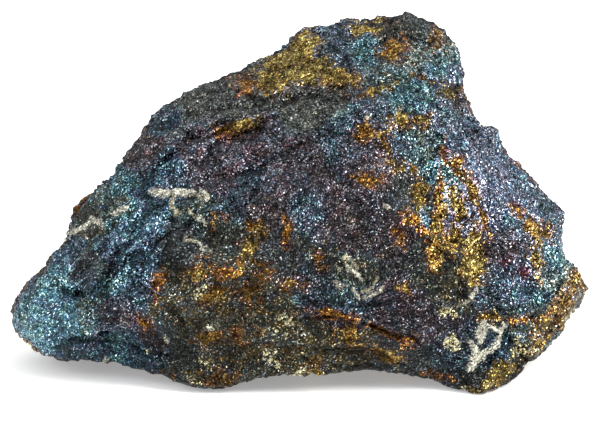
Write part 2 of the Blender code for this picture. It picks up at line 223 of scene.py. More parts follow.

# Patches of brass-coloured ore: x, y, half length, half width, turn in degrees anticlockwise, tone
# from brass yellow (0) to copper orange (1), and brightness, partly the brass's own dullness and
# partly painted light and shade; where it is low the patch has fewer painted glints.
Patch = namedtuple("Patch", "x y long wide turn tone shine")
BRASS_PATCHES = {
    "roof": (
        Patch(300, 50, 21, 17, 60, 0.05, 0.82),
        Patch(280, 70, 23, 17, 30, 0.05, 0.82),
        Patch(305, 68, 31, 15, 0, 0.00, 0.82),
        Patch(332, 74, 21, 10, -10, 0.15, 0.82),
        Patch(274, 88, 13, 7, 0, 0.10, 0.6),
        Patch(245, 85, 9, 7, 0, 0.70, 0.5),
        Patch(365, 27, 19, 7, 10, 0.10, 1.08),
        Patch(392, 52, 10, 9, 0, 0.55, 0.8),
        Patch(437, 37, 6, 8, 0, 0.40, 0.8),
    ),
    "left shoulder": (
        Patch(238, 126, 19, 6, 8, 0.10, 0.72),
        Patch(226, 130, 9, 6, 0, 0.75, 0.6),
    ),
    "right face": (
        Patch(427, 78, 12, 4, -35, 0.50, 0.8),
        Patch(450, 91, 13, 7, -35, 0.15, 1.0),
        Patch(376, 91, 17, 5, 14, 0.15, 0.8),
        Patch(399, 119, 9, 7, 0, 0.15, 0.8),
        Patch(421, 119, 11, 6, 10, 0.45, 0.8),
        Patch(364, 132, 10, 6, 0, 0.60, 0.8),
        Patch(383, 132, 8, 6, 0, 0.30, 0.8),
        Patch(386, 151, 4, 11, 0, 0.30, 0.8),
        Patch(399, 167, 12, 5, -15, 0.20, 0.75),
        Patch(369, 178, 11, 5, -15, 0.65, 0.75),
        Patch(444, 153, 3, 7, 0, 0.85, 0.9),
    ),
    "brass streaks": (
        Patch(458, 162, 7, 5, -60, 0.65, 0.9),
        Patch(470, 184, 20, 7, -62, 0.45, 1.18),
        Patch(419, 197, 20, 7, 82, 0.20, 1.18),
        Patch(437, 196, 16, 4, 80, 0.60, 1.18),
        Patch(456, 205, 19, 8, -75, 0.30, 1.18),
        Patch(409, 217, 6, 5, 0, 0.75, 0.9),
        Patch(437, 220, 20, 6, 75, 0.35, 1.18),
        Patch(430, 230, 11, 4, -12, 0.85, 1.12),
        Patch(437, 250, 15, 7, 75, 0.30, 1.12),
        Patch(452, 236, 16, 7, 70, 0.35, 1.18),
        Patch(471, 240, 17, 7, 75, 0.35, 1.18),
        Patch(475, 262, 22, 12, 78, 0.10, 0.9),
        Patch(484, 220, 14, 3, -75, 0.60, 0.9),
        Patch(401, 234, 5, 7, 0, 0.70, 0.9),
        Patch(404, 289, 5, 7, 30, 0.50, 0.9),
    ),
    "right end": (
        Patch(537, 229, 15, 6, -42, 0.45, 1.0),
        Patch(518, 211, 6, 4, -50, 0.90, 1.0),
        Patch(537, 257, 15, 6, 88, 0.25, 1.0),
        Patch(575, 280, 12, 7, 60, 0.40, 1.15),
        Patch(563, 301, 15, 7, 60, 0.40, 1.05),
        Patch(549, 320, 16, 7, 55, 0.35, 1.05),
        Patch(536, 341, 14, 6, 55, 0.40, 0.9),
        Patch(519, 319, 6, 3, 0, 0.95, 0.9),
        Patch(492, 316, 11, 5, -10, 0.40, 0.9),
        Patch(497, 375, 24, 10, 40, 0.05, 0.72),
        Patch(514, 367, 11, 7, 40, 0.05, 0.75),
        Patch(527, 359, 9, 4, 20, 0.05, 0.9),
        Patch(470, 390, 10, 4, -15, 0.10, 0.7),
    ),
    "low centre": (
        Patch(437, 377, 11, 3, 0, 0.80, 0.5),
        Patch(348, 335, 14, 8, -20, 0.35, 1.0),
        Patch(380, 330, 14, 3, -20, 0.80, 0.5),
        Patch(388, 354, 13, 7, -15, 0.30, 0.8),
        Patch(410, 341, 6, 4, 0, 0.90, 0.6),
        Patch(318, 260, 5, 6, 0, 0.75, 0.6),
        Patch(330, 315, 20, 4, -10, 0.85, 0.42),
        Patch(316, 372, 7, 9, 0, 0.20, 0.5),
    ),
    "low left": (
        Patch(199, 271, 13, 9, 40, 0.35, 0.42),
        Patch(221, 273, 10, 6, 10, 0.75, 0.30),
        Patch(250, 250, 17, 9, 57, 0.28, 0.45),
        Patch(239, 265, 11, 5, 60, 0.45, 0.38),
        Patch(213, 296, 12, 7, 10, 0.40, 0.3),
        Patch(248, 292, 9, 8, 0, 0.55, 0.34),
        Patch(267, 270, 7, 5, 0, 0.60, 0.42),
        Patch(257, 229, 8, 10, 0, 0.35, 0.4),
        Patch(286, 229, 4, 10, 0, 0.85, 0.6),
        Patch(292, 284, 11, 7, 0, 0.50, 0.3),
        Patch(214, 220, 5, 4, 0, 0.50, 0.7),
        Patch(157, 282, 6, 6, 0, 0.90, 0.55),
        Patch(144, 321, 4, 6, 0, 0.85, 0.6),
        Patch(209, 338, 13, 7, -10, 0.45, 0.33),
        Patch(239, 335, 4, 4, 0, 0.75, 0.7),
        Patch(226, 381, 13, 8, 0, 0.45, 0.28),
        Patch(160, 381, 9, 6, 0, 0.20, 0.4),
    ),
}

# Pixels over which the depth of a brass patch rises by 1, which sets how far its rim frays.
BRASS_SLOPE = 26.0

# Veins of white crust, each with its paleness and its places: x, y and half width.
Vein = namedtuple("Vein", "pale places")
VEINS = {
    "left lens": (
        Vein(0.85, ((148, 191, 1.2), (153, 192, 3.0), (160, 192, 3.6), (168, 192, 3.2), (175, 191, 3.4))),
        Vein(1.05, ((175, 191, 3.6), (184, 192, 4.2), (191, 191, 2.6), (195, 192, 1.0))),
        Vein(0.90, ((200, 191, 1.2), (204, 193, 2.6), (207, 197, 2.4), (206, 201, 1.4))),
        Vein(0.50, ((194, 193, 1.2), (199, 196, 1.7), (203, 200, 1.2))),
        Vein(0.50, ((173, 197, 1.6), (171, 204, 2.2), (171, 210, 1.4), (176, 213, 3.0), (183, 214, 1.5))),
        Vein(0.60, ((186, 207, 1.0), (190, 212, 1.5), (195, 217, 1.6))),
        Vein(0.90, ((195, 217, 1.6), (200, 218, 2.0), (205, 223, 1.6))),
        Vein(0.60, ((183, 236, 1.2), (186, 240, 2.2), (190, 240, 1.8), (196, 241, 1.0))),
        Vein(0.80, ((199, 243, 1.2), (203, 248, 1.9), (206, 247, 1.3), (211, 251, 1.2))),
    ),
    "left edge": (
        Vein(1.25, ((58, 242, 2.4), (64, 236, 2.8), (70, 230, 2.6), (76, 229, 1.6))),
        Vein(1.25, ((72, 231, 2.6), (77, 231, 2.2), (83, 227, 2.6), (90, 222, 1.4))),
        Vein(1.00, ((92, 217, 1.2), (95, 220, 2.4), (100, 223, 2.8), (105, 226, 1.4))),
        Vein(1.20, ((113, 214, 1.0), (117, 212, 2.4), (122, 210, 3.2), (128, 208, 1.6))),
    ),
    "centre hook": (
        Vein(1.30, ((343, 259, 1.8), (345, 256, 1.7))),
        Vein(1.30, ((348, 257, 1.4), (348, 261, 1.4))),
        Vein(0.70, ((345, 263, 1.2), (349, 268, 2.6), (353, 271, 2.2), (358, 275, 3.0), (361, 278, 1.2))),
        Vein(0.40, ((351, 261, 1.8), (356, 265, 1.8), (357, 269, 1.6))),
        Vein(0.45, ((337, 267, 1.8), (340, 270, 1.8))),
        Vein(0.55, ((335, 280, 1.2), (336, 284, 1.8), (341, 286, 2.2), (344, 284, 1.2))),
        Vein(0.75, ((353, 288, 1.6), (355, 293, 2.0), (359, 298, 1.8), (364, 296, 1.4))),
        Vein(0.75, ((364, 296, 1.4), (370, 296, 1.4), (375, 293, 2.2), (379, 290, 2.6), (382, 286, 1.2))),
        Vein(0.45, ((362, 291, 1.6), (368, 290, 1.9), (372, 286, 1.4), (374, 282, 1.9), (377, 278, 1.8))),
        Vein(0.90, ((386, 204, 1.6), (389, 207, 1.8))),
    ),
    "right end": (
        Vein(0.85, ((477, 286, 1.0), (474, 292, 1.9), (472, 297, 2.5))),
        Vein(0.50, ((471, 299, 1.6), (467, 302, 1.6), (462, 303, 1.2), (457, 307, 1.2))),
        Vein(0.80, ((484, 321, 2.0), (482, 328, 5.4), (480, 335, 5.2), (480, 342, 2.4))),
        Vein(1.10, ((484, 323, 2.0), (489, 325, 2.0), (493, 328, 1.8), (498, 331, 1.5))),
        Vein(1.10, ((504, 323, 0.9), (502, 331, 1.8), (499, 338, 2.6), (496, 345, 3.0), (490, 350, 3.0))),
        Vein(0.95, ((490, 350, 3.0), (485, 353, 3.0), (479, 357, 4.4), (474, 362, 3.8), (468, 369, 2.2))),
        Vein(0.90, ((470, 342, 2.8), (474, 347, 3.2), (476, 353, 3.4), (474, 359, 4.0))),
        Vein(0.70, ((532, 386, 1.0), (535, 388, 1.0))),
    ),
    "under the nose": (Vein(0.80, ((104, 361, 1.8), (107, 365, 1.8))),),
    "low left": (
        Vein(1.00, ((206, 325, 1.0), (212, 328, 1.4))),
        Vein(1.00, ((166, 334, 1.2), (168, 342, 1.4))),
        Vein(1.10, ((300, 334, 0.8), (303, 334, 1.2))),
        Vein(0.70, ((296, 341, 1.2), (301, 342, 1.2))),
    ),
}

# Pixels over which the depth of a vein rises by 1.
VEIN_SLOPE = 7.0

# Knots of pale sulphide grains: x, y and reach.
Cluster = namedtuple("Cluster", "x y reach")
GRAIN_CLUSTERS = {
    "low left": (
        Cluster(197, 294, 5.0), Cluster(203, 289, 4.0), Cluster(281, 317, 4.0), Cluster(288, 323, 4.5),
        Cluster(277, 329, 4.5), Cluster(285, 335, 3.5), Cluster(265, 355, 4.5), Cluster(276, 353, 3.5),
        Cluster(272, 360, 3.5), Cluster(279, 364, 4.0), Cluster(201, 360, 4.5), Cluster(206, 364, 3.0),
        Cluster(191, 381, 4.5), Cluster(197, 385, 3.0), Cluster(222, 384, 3.0), Cluster(146, 350, 3.5),
        Cluster(298, 372, 5.0), Cluster(165, 338, 3.0), Cluster(305, 368, 3.0),
    ),
    "right end": (
        Cluster(443, 311, 5.0), Cluster(448, 311, 5.0), Cluster(454, 313, 5.0), Cluster(452, 337, 4.5),
        Cluster(448, 344, 4.5), Cluster(457, 343, 4.0), Cluster(453, 350, 4.0), Cluster(515, 352, 4.0),
        Cluster(521, 352, 4.5), Cluster(527, 351, 5.0), Cluster(521, 345, 3.5), Cluster(535, 348, 3.0),
        Cluster(463, 391, 5.0), Cluster(516, 338, 3.0),
    ),
    "centre": (Cluster(345, 258, 4.0),),
}

# A crease is a dark crack or the foot of a small step: half width, depth in millimetres, places.
Crease = namedtuple("Crease", "wide deep places")
CREASES = {
    "nose": (
        Crease(3.2, 1.3, ((60, 284), (66, 290), (76, 292), (86, 289), (95, 282), (101, 272), (107, 262))),
        Crease(2.4, 1.0, ((107, 262), (114, 252), (122, 243), (134, 224), (142, 211))),
        Crease(2.2, 0.8, ((96, 286), (110, 272), (126, 256), (140, 246))),
        Crease(2.2, 0.7, ((36, 342), (50, 349), (66, 342), (82, 335), (100, 334), (118, 332))),
        Crease(2.0, 0.6, ((88, 333), (108, 338), (134, 346), (152, 352), (170, 354))),
        Crease(1.8, 0.4, ((95, 318), (110, 312), (128, 312), (148, 318))),
    ),
    "left flank": (
        Crease(2.2, 0.6, ((148, 244), (162, 236), (176, 228), (190, 219))),
        Crease(2.0, 0.5, ((178, 262), (190, 276), (196, 292))),
        Crease(2.0, 0.5, ((76, 270), (90, 256), (104, 238), (112, 226))),
        Crease(2.0, 0.5, ((196, 226), (212, 212), (226, 202))),
    ),
    "left shoulder": (
        Crease(2.4, 1.3, ((144, 168), (158, 160), (172, 148), (188, 137), (204, 130), (224, 120))),
        Crease(2.0, 0.7, ((214, 143), (232, 136), (248, 130), (260, 120), (278, 114))),
        Crease(
            2.0, 0.7, ((204, 177), (224, 172), (242, 171), (256, 168), (272, 156), (290, 147), (304, 140))
        ),
        Crease(1.8, 0.6, ((198, 168), (204, 154), (210, 145))),
        Crease(2.0, 0.6, ((258, 186), (248, 198), (240, 208))),
    ),
    "roof": (
        Crease(1.8, 0.5, ((166, 118), (185, 112), (208, 108), (238, 103), (262, 100))),
        Crease(1.8, 0.5, ((180, 100), (205, 95), (232, 90), (252, 96))),
        Crease(2.0, 0.6, ((266, 96), (290, 93), (318, 89), (345, 83))),
        Crease(2.6, 0.45, ((376, 43), (390, 36), (408, 34), (424, 39))),
        Crease(1.6, 0.3, ((262, 76), (274, 66), (290, 63), (306, 57))),
        Crease(1.6, 0.3, ((296, 44), (303, 56), (318, 66), (336, 72))),
        Crease(1.8, 0.5, ((328, 44), (342, 50), (350, 62), (352, 76))),
        Crease(1.8, 0.5, ((362, 84), (384, 82), (404, 76), (420, 66))),
    ),
    "centre": (
        Crease(2.0, 0.4, ((328, 216), (316, 228), (308, 238), (298, 252), (292, 264))),
        Crease(2.0, 0.5, ((300, 200), (290, 212), (282, 226))),
        Crease(2.0, 0.4, ((400, 228), (418, 233), (434, 241), (448, 256), (460, 272), (464, 292))),
        Crease(1.8, 0.5, ((464, 292), (474, 306), (482, 316))),
        Crease(1.8, 0.4, ((350, 96), (356, 110), (364, 124))),
    ),
    "foot": (
        Crease(2.0, 0.5, ((300, 301), (322, 300), (348, 305), (366, 306), (386, 301))),
        Crease(
            2.0, 0.6, ((302, 318), (326, 317), (348, 319), (370, 325), (392, 333), (408, 334), (424, 344))
        ),
        Crease(2.0, 0.5, ((308, 346), (326, 350), (352, 350), (376, 353), (396, 360), (410, 366))),
        Crease(1.8, 0.4, ((214, 341), (236, 346), (258, 343), (276, 336))),
        Crease(1.8, 0.4, ((300, 356), (322, 362), (352, 366), (384, 370), (412, 376))),
    ),
    "right side": (
        Crease(2.2, 0.7, ((434, 148), (448, 138), (462, 130), (476, 126))),
        Crease(2.4, 0.9, ((458, 92), (462, 106), (468, 118), (478, 126))),
        Crease(2.4, 1.0, ((512, 336), (519, 342), (524, 352), (530, 360))),
        Crease(2.0, 0.6, ((500, 306), (512, 312), (524, 318), (540, 316))),
        Crease(2.0, 0.7, ((556, 262), (560, 276), (557, 292), (548, 306))),
        Crease(2.0, 0.7, ((496, 352), (490, 364), (484, 376), (480, 388))),
        Crease(2.0, 0.5, ((494, 236), (502, 248), (508, 262))),
    ),
}

# A crack's walls fall away this much faster than over its half width, and by this power.
CRACK_STEEPNESS = 1.8
CRACK_POWER = 1.4

# The ledge above a crease is this share of its depth high, and fades over this many half widths.
LEDGE_SHARE = 0.6
LEDGE_REACH = 5.0

# A calm place is smoother than the rest of the lump by this share of its fracture.
Calm = namedtuple("Calm", "x y reach share")
CALM_PLACES = {
    "nose": Calm(48, 311, 42, 0.90),
    "left hollow": Calm(90, 266, 22, 0.70),
    "left flank": Calm(125, 235, 34, 0.45),
    "left shoulder": Calm(215, 135, 50, 0.40),
    "roof": Calm(290, 68, 30, 0.35),
    "centre": Calm(320, 210, 60, 0.35),
    "low centre": Calm(370, 310, 70, 0.50),
    "low left": Calm(230, 330, 60, 0.35),
    "foot": Calm(495, 370, 20, 0.30),
    "right shoulder": Calm(500, 180, 40, 0.35),
}

# A bedded place shows fine parallel layers that run this many degrees anticlockwise of level.
Bedding = namedtuple("Bedding", "name turn x y long wide share")
BEDDINGS = (
    Bedding("roof", 26, 225, 118, 100, 46, 1.0),
    Bedding("flank", 50, 128, 232, 90, 54, 1.0),
    Bedding("foot", -9, 350, 332, 100, 40, 0.6),
    Bedding("face", 72, 290, 215, 70, 50, 0.5),
)

# The way that grains lie where there are no layers, in the same degrees, and its weight against the
# layers' own.
UNBEDDED_TURN = 60
UNBEDDED_WEIGHT = 0.3

# Layers are this long, deep and thick in millimetres, and this high.
LAYER_SIZE_MM = (15.0, 5.0, 2.0)
LAYER_HEIGHT = 2.4 * MM

# A nudge moves the rim near a place by this many pixels to the right and down, and this many
# millimetres nearer, less and less out to its reach.
Nudge = namedtuple("Nudge", "x y reach right down nearer")
RIM_NUDGES = {
    "left flank": Nudge(118, 161, 18, 3.2, 2.2, 0.0),
    "left shoulder": Nudge(206, 86, 24, 0.6, 2.2, 0.0),
    "roof": Nudge(276, 46, 40, 1.4, 2.4, 0.0),
    "left top": Nudge(341, 23, 18, 0.0, -3.6, 0.0),
    "top": Nudge(388, 18, 46, 0.0, -4.8, 0.0),
    "top corner": Nudge(454, 46, 22, 2.4, -0.6, 0.0),
    "notch": Nudge(480, 117, 24, -3.8, 5.4, 0.0),
    "above the notch": Nudge(469, 98, 24, -3.4, 1.4, 0.0),
    "right end": Nudge(570, 318, 46, -3.4, -2.6, 0.0),
    "under the right end": Nudge(516, 376, 30, 3.2, 5.0, 0.6),
    "right foot": Nudge(480, 390, 40, 0.0, 0.0, 4.2),
}

# A small wander frays the edges of the marks: its reach in pixels, the millimetres over which it
# turns, and how far apart its two parts are read. Veins and clusters take a share of it.
WOBBLE_PIXELS = 4.8
WOBBLE_MM = 4.0
WOBBLE_SHIFT = Vector((31.0, 7.0, 13.0))
VEIN_WOBBLE = 0.2
CLUSTER_WOBBLE = 0.6

# The front is where the surface, softened this often, faces the camera. It counts fully where the
# cosine between its normal and the way to the camera is at least this.
FRONT_SOFTEN_PASSES = 20
FRONT_COSINE = 0.35

# The net is finest within this many pixels of a vein, and where a crease is deeper than this.
FINE_ROUND_VEIN = 2.0
FINE_CREASE_MM = 0.15
MERGE_DISTANCE = 1e-6

# Flat facets this wide, and how much they lean at most.
FACET_MM = 6.0
FACET_LEAN = 0.12

# A valley between bumps or layers is dark up to this height of theirs.
VALLEY_EDGE = 0.12

# The surface is calmer below this height over the floor, and sinks by this much on the whole, as
# its bumps rise above the solid.
FLOOR_CALM_MM = 7.0
SINK = 0.75 * MM

# Loose-standing grains: how many stand on a square metre of a cluster, their least and greatest
# width as shares of the crystal size, and the seeds of their places, widths and turns.
CRYSTAL_DENSITY = 2.6e6
CRYSTAL_WIDTHS = (0.4, 1.5)
PLACE_SEED = 4
WIDTH_SEED = 2
TURN_SEED = 1

# Colours that aren't a user's: the painted highlight of the brightest glints, and the dark ground of
# the grain clusters.
GLINT_COLOUR = (0.62, 0.64, 0.62)
CLUSTER_GROUND = (0.022, 0.019, 0.010)

# The soft lights: where each comes from, its share of the key light's strength, its spread in
# degrees and its colour.
Light = namedtuple("Light", "place share spread colour")
LIGHTS = {
    "key": Light((0.85, -0.40, 0.75), 1.0, 30.0, (1.0, 0.98, 0.95)),
    "fill": Light((-0.80, -0.60, 0.60), 0.30, 30.0, (0.92, 0.96, 1.0)),
    "front": Light((0.10, -0.90, 0.38), 0.12, 50.0, (1.0, 1.0, 1.0)),
}

# The sky's glow at the horizon, what it gains overhead, and the sines of the angles between which
# it rises.
SKY_LOW_GLOW = 0.10
SKY_GAIN = 1.05
SKY_RISE = (0.30, 0.75)

WHITE = (1.0, 1.0, 1.0, 1.0)
FLOOR_COLOUR = (0.93, 0.93, 0.93, 1.0)
FLOOR_ROUGHNESS = 0.9

# The three parts of a vector, or the three random numbers of a random colour.
Parts = namedtuple("Parts", "x y z")


def length_property(name, description, default_mm, **limits):
    return bpy.props.FloatProperty(
        name=name, description=description, default=default_mm * MM, unit="LENGTH", precision=5, **limits
    )


class SpecimenSizes(bpy.types.PropertyGroup):
    """Sizes of the broken surface and of the grains on it."""

    mesh_step: length_property(
        "Mesh Step", "Distance between the points of the net, which is finer on the front", 0.95, min=0.5 * MM
    )
    soften_passes: bpy.props.IntProperty(
        name="Soften Passes",
        description="How often the solid's flat faces are averaged before the fracture is laid on",
        default=2,
        min=0,
        max=40,
    )
    swell_height: length_property("Swell Height", "Height of the widest swells of the fracture", 0.6)
    hackle_height: length_property(
        "Hackle Height", "Height of the bumps of the fracture, which meet in sharp valleys", 1.4
    )
    grain_size: length_property("Grain Size", "Width of the ore's crystal grains", 0.75)
    crystal_size: length_property("Crystal Size", "Width of the loose-standing sulphide grains", 0.5)


def colour_property(name, description, default):
    return bpy.props.FloatVectorProperty(
        name=name, description=description, default=default, size=3, min=0, max=1, subtype="COLOR"
    )


class SpecimenColours(bpy.types.PropertyGroup):
    """Colours of the ore, its tarnish film and its vein crust."""

    brass: colour_property("Brass", "Fresh chalcopyrite", (0.45, 0.345, 0.112))
    copper: colour_property("Copper", "Chalcopyrite with a thin film", (0.47, 0.20, 0.042))
    magenta: colour_property("Magenta", "Film at the rim of the brass patches", (0.32, 0.055, 0.075))
    purple: colour_property("Purple", "Film between magenta and violet", (0.16, 0.085, 0.16))
    violet: colour_property("Violet", "Film of the middle of the front", (0.14, 0.123, 0.16))
    lavender: colour_property("Lavender", "Film of the right shoulder", (0.18, 0.20, 0.295))
    blue: colour_property("Blue", "Film of the left flank", (0.085, 0.16, 0.28))
    teal: colour_property("Teal", "Film of the nose", (0.095, 0.26, 0.31))
    sea_green: colour_property("Sea Green", "Film between teal and olive", (0.12, 0.24, 0.20))
    olive: colour_property("Olive", "Thickest film", (0.125, 0.135, 0.10))
    grey_ground: colour_property("Grey Ground", "Dull ore without a film, cool", (0.102, 0.109, 0.112))
    brown_ground: colour_property("Brown Ground", "Dull ore without a film, warm", (0.106, 0.083, 0.054))
    crust: colour_property("Crust", "White vein crust", (0.54, 0.53, 0.43))
    dusty_crust: colour_property("Dusty Crust", "Dull vein crust", (0.50, 0.46, 0.29))
    pale_grain: colour_property("Pale Grain", "Loose-standing sulphide grains", (0.90, 0.86, 0.60))


class SpecimenStage(bpy.types.PropertyGroup):
    """Size of the floor and strength of the light."""

    floor_size: bpy.props.FloatProperty(
        name="Floor Size", description="Side of the square floor", default=6.0, unit="LENGTH"
    )
    floor_glow: bpy.props.FloatProperty(
        name="Floor Glow", description="Light that the floor gives off by itself", default=0.3, min=0.0
    )
    key_strength: bpy.props.FloatProperty(
        name="Key Strength",
        description="Strength of the soft light from the upper right",
        default=3.3,
        min=0.0,
    )
    sky_strength: bpy.props.FloatProperty(
        name="Sky Strength", description="Strength of the light from all round", default=1.0
    )


class Value:
    """A socket's value or a plain number, with the sums that a node tree needs."""

    def __init__(self, sheet, socket):
        self.sheet = sheet
        self.socket = socket

    def sum_with(self, operation, first, second):
        return self.sheet.add("ShaderNodeMath", {"operation": operation}, {0: first, 1: second})

    def __add__(self, other):
        return self.sum_with("ADD", self, other)

    def __radd__(self, other):
        return self.sum_with("ADD", other, self)

    def __sub__(self, other):
        return self.sum_with("SUBTRACT", self, other)

    def __rsub__(self, other):
        return self.sum_with("SUBTRACT", other, self)

    def __mul__(self, other):
        return self.sum_with("MULTIPLY", self, other)

    def __rmul__(self, other):
        return self.sum_with("MULTIPLY", other, self)

    def __truediv__(self, other):
        return self.sum_with("DIVIDE", self, other)

    def __rtruediv__(self, other):
        return self.sum_with("DIVIDE", other, self)

    def __pow__(self, other):
        return self.sum_with("POWER", self, other)

    def __rpow__(self, other):
        return self.sum_with("POWER", other, self)

    def __abs__(self):
        return self.sum_with("ABSOLUTE", self, 0.0)

    def at_least(self, other):
        return self.sum_with("MAXIMUM", self, other)

    def at_most(self, other):
        return self.sum_with("MINIMUM", self, other)

    def output(self, name):
        return Value(self.sheet, self.socket.node.outputs[name])


class Sheet:
    """A node tree that grows by one call for each node."""

    def __init__(self, tree):
        self.tree = tree

    def add(self, kind, settings=None, inputs=None, output=0):
        """Adds a node, with its settings first and then its inputs, and returns one output."""
        node = self.tree.nodes.new(kind)
        for name, setting in (settings or {}).items():
            if name == "stops":
                self.set_stops(node.color_ramp, setting)
            else:
                setattr(node, name, setting)
        for name, given in (inputs or {}).items():
            self.feed(node.inputs[name], given)
        return Value(self, node.outputs[output]) if node.outputs else node

    def feed(self, socket, given):
        """Sets a socket to a plain value, or links a Value to it."""
        if isinstance(given, Value):
            self.tree.links.new(given.socket, socket)
        else:
            socket.default_value = given

    @staticmethod
    def set_stops(ramp, stops):
        """Gives a colour ramp these places and colours."""
        while len(ramp.elements) < len(stops):
            ramp.elements.new(1.0)
        for element, (place, colour) in zip(ramp.elements, stops):
            element.position = place
            element.color = (*colour, 1.0)

    def vector(self, operation, first, second=None, factor=None):
        inputs = {0: first}
        if second is not None:
            inputs[1] = second
        if factor is not None:
            inputs["Scale"] = factor
        return self.add("ShaderNodeVectorMath", {"operation": operation}, inputs)

    def dot(self, first, second):
        return self.add(
            "ShaderNodeVectorMath", {"operation": "DOT_PRODUCT"}, {0: first, 1: second}, output="Value"
        )

    def parts(self, vector):
        split = self.add("ShaderNodeSeparateXYZ", None, {0: vector})
        return Parts(split, split.output("Y"), split.output("Z"))

    def centred(self, colour, factor):
        """A random colour as a random vector: less 0.5 in each part, then scaled."""
        return self.vector("SCALE", self.vector("SUBTRACT", colour, (0.5, 0.5, 0.5)), factor=factor)

    def step(self, value, low, high):
        """0 below low, 1 above high and smooth between them."""
        return self.add(
            "ShaderNodeMapRange",
            {"interpolation_type": "SMOOTHSTEP"},
            {"Value": value, "From Min": low, "From Max": high, "To Min": 0.0, "To Max": 1.0},
        )

    def noise(self, place, size_mm, detail=2.0, rough=0.5, output=0):
        """Soft noise round 0.5 whose lumps are about this wide."""
        return self.add(
            "ShaderNodeTexNoise",
            None,
            {"Vector": place, "Scale": 1.0 / size_mm, "Detail": detail, "Roughness": rough},
            output=output,
        )

    def bumps(self, place, size_mm):
        """0 along sharp valleys and up to about 0.6 on the round bumps between them."""
        return abs((self.noise(place, size_mm, 1.0, 0.4) - 0.5) * 2.0)

    def cells(self, place, size_mm):
        """The distance to the middle of the nearest of many cells, each with its own colour."""
        return self.add("ShaderNodeTexVoronoi", None, {"Vector": place, "Scale": 1.0 / size_mm})

    def blend(self, share, first, second):
        """first where share is 0, second where it is 1; both are colours."""
        return self.add(
            "ShaderNodeMix",
            {"data_type": "RGBA"},
            {"Factor": share, 6: rgba(first), 7: rgba(second)},
            output=2,
        )

    def tinted(self, colour, brightness):
        """A colour, brightened or darkened by a number."""
        return self.vector("SCALE", colour, factor=brightness)


def rgba(colour):
    """A colour that a colour socket takes: a Value as it is, and a plain one with its alpha."""
    return colour if isinstance(colour, Value) else (*tuple(colour)[:3], 1.0)


def every_mark(areas):
    """The marks of all areas in one list."""
    return [mark for marks in areas.values() for mark in marks]


def soft_step(values, low, high):
    """0 at low, 1 at high and smooth between them."""
    share = np.clip((values - low) / (high - low), 0.0, 1.0)
    return share * share * (3.0 - 2.0 * share)


def mesh_points(mesh):
    """The places of the mesh's points, one in each row."""
    points = np.empty(len(mesh.vertices) * 3)
    mesh.vertices.foreach_get("co", points)
    return points.reshape(-1, 3)


def camera_direction():
    return Vector((0.0, math.cos(CAMERA_LEAN), -math.sin(CAMERA_LEAN)))


def camera_up():
    return np.array((0.0, math.sin(CAMERA_LEAN), math.cos(CAMERA_LEAN)))


def camera_place():
    return CAMERA_AIM - camera_direction() * CAMERA_DISTANCE


def picture_places(points):
    """Where the camera sees each point, in pixels from the picture's upper left corner."""
    away = points - np.array(camera_place())
    depth = away @ np.array(camera_direction())
    scale = CAMERA_LENS / CAMERA_SENSOR * PICTURE_SIZE[0] / depth
    x = PICTURE_SIZE[0] / 2 - 0.5 + away[:, 0] * scale
    y = PICTURE_SIZE[1] / 2 - 0.5 - (away @ camera_up()) * scale
    return x, y


def nudged(points):
    """The points after the rim is moved."""
    x, y = picture_places(points)
    right = np.array((1.0, 0.0, 0.0))
    down = -camera_up()
    pixel = CAMERA_DISTANCE * CAMERA_SENSOR / (CAMERA_LENS * PICTURE_SIZE[0])
    moved = points.copy()
    for nudge in RIM_NUDGES.values():
        away = np.hypot(x - nudge.x, y - nudge.y) / nudge.reach
        share = soft_step(away, 1.0, 0.0)[:, None]
        moved += share * pixel * (nudge.right * right + nudge.down * down)
        moved[:, 1] -= share[:, 0] * nudge.nearer * MM
    return moved


def softened(mesh, points, passes):
    """The points after each is averaged with its neighbours this many times."""
    edges = np.empty(len(mesh.edges) * 2, dtype=np.int64)
    mesh.edges.foreach_get("vertices", edges)
    first, second = edges.reshape(-1, 2).T
    count = np.bincount(edges, minlength=len(points))[:, None]
    for _ in range(passes):
        total = np.zeros_like(points)
        for axis in range(3):
            total[:, axis] = np.bincount(first, points[second, axis], len(points))
            total[:, axis] += np.bincount(second, points[first, axis], len(points))
        points = (points + total / count) / 2
    return points


def facing_camera(mesh, points, soft_points):
    """1 where the soft surface faces the camera and 0 where it faces away."""
    mesh.vertices.foreach_set("co", soft_points.ravel())
    mesh.update()
    normals = np.empty(len(points) * 3)
    mesh.vertex_normals.foreach_get("vector", normals)
    mesh.vertices.foreach_set("co", points.ravel())
    mesh.update()
    towards = -(normals.reshape(-1, 3) @ np.array(camera_direction()))
    return soft_step(towards, 0.0, FRONT_COSINE)


def tarnish_fields(x, y):
    """The dabs' states blended over the front, each place following its nearest dabs."""
    total = np.full(len(x), TINY)
    sums = {name: np.zeros(len(x)) for name in (*Tarnish._fields, "light")}
    for states in TARNISH_DABS.values():
        for state, dabs in states.items():
            for dab in dabs:
                away = ((x - dab.x) ** 2 + (y - dab.y) ** 2) / dab.reach**2
                weight = np.exp(-away / DAB_FALL) + DAB_FAR_WEIGHT / (1.0 + away)
                total += weight
                for name, value in (*state._asdict().items(), ("light", dab.light)):
                    sums[name] += weight * value
    return {name: values / total for name, values in sums.items()}


def turned_from(x, y, mark):
    """Distances along and across an oval mark from its centre, in pixels."""
    turn = math.radians(mark.turn)
    along = (x - mark.x) * math.cos(turn) - (y - mark.y) * math.sin(turn)
    across = (x - mark.x) * math.sin(turn) + (y - mark.y) * math.cos(turn)
    return along, across


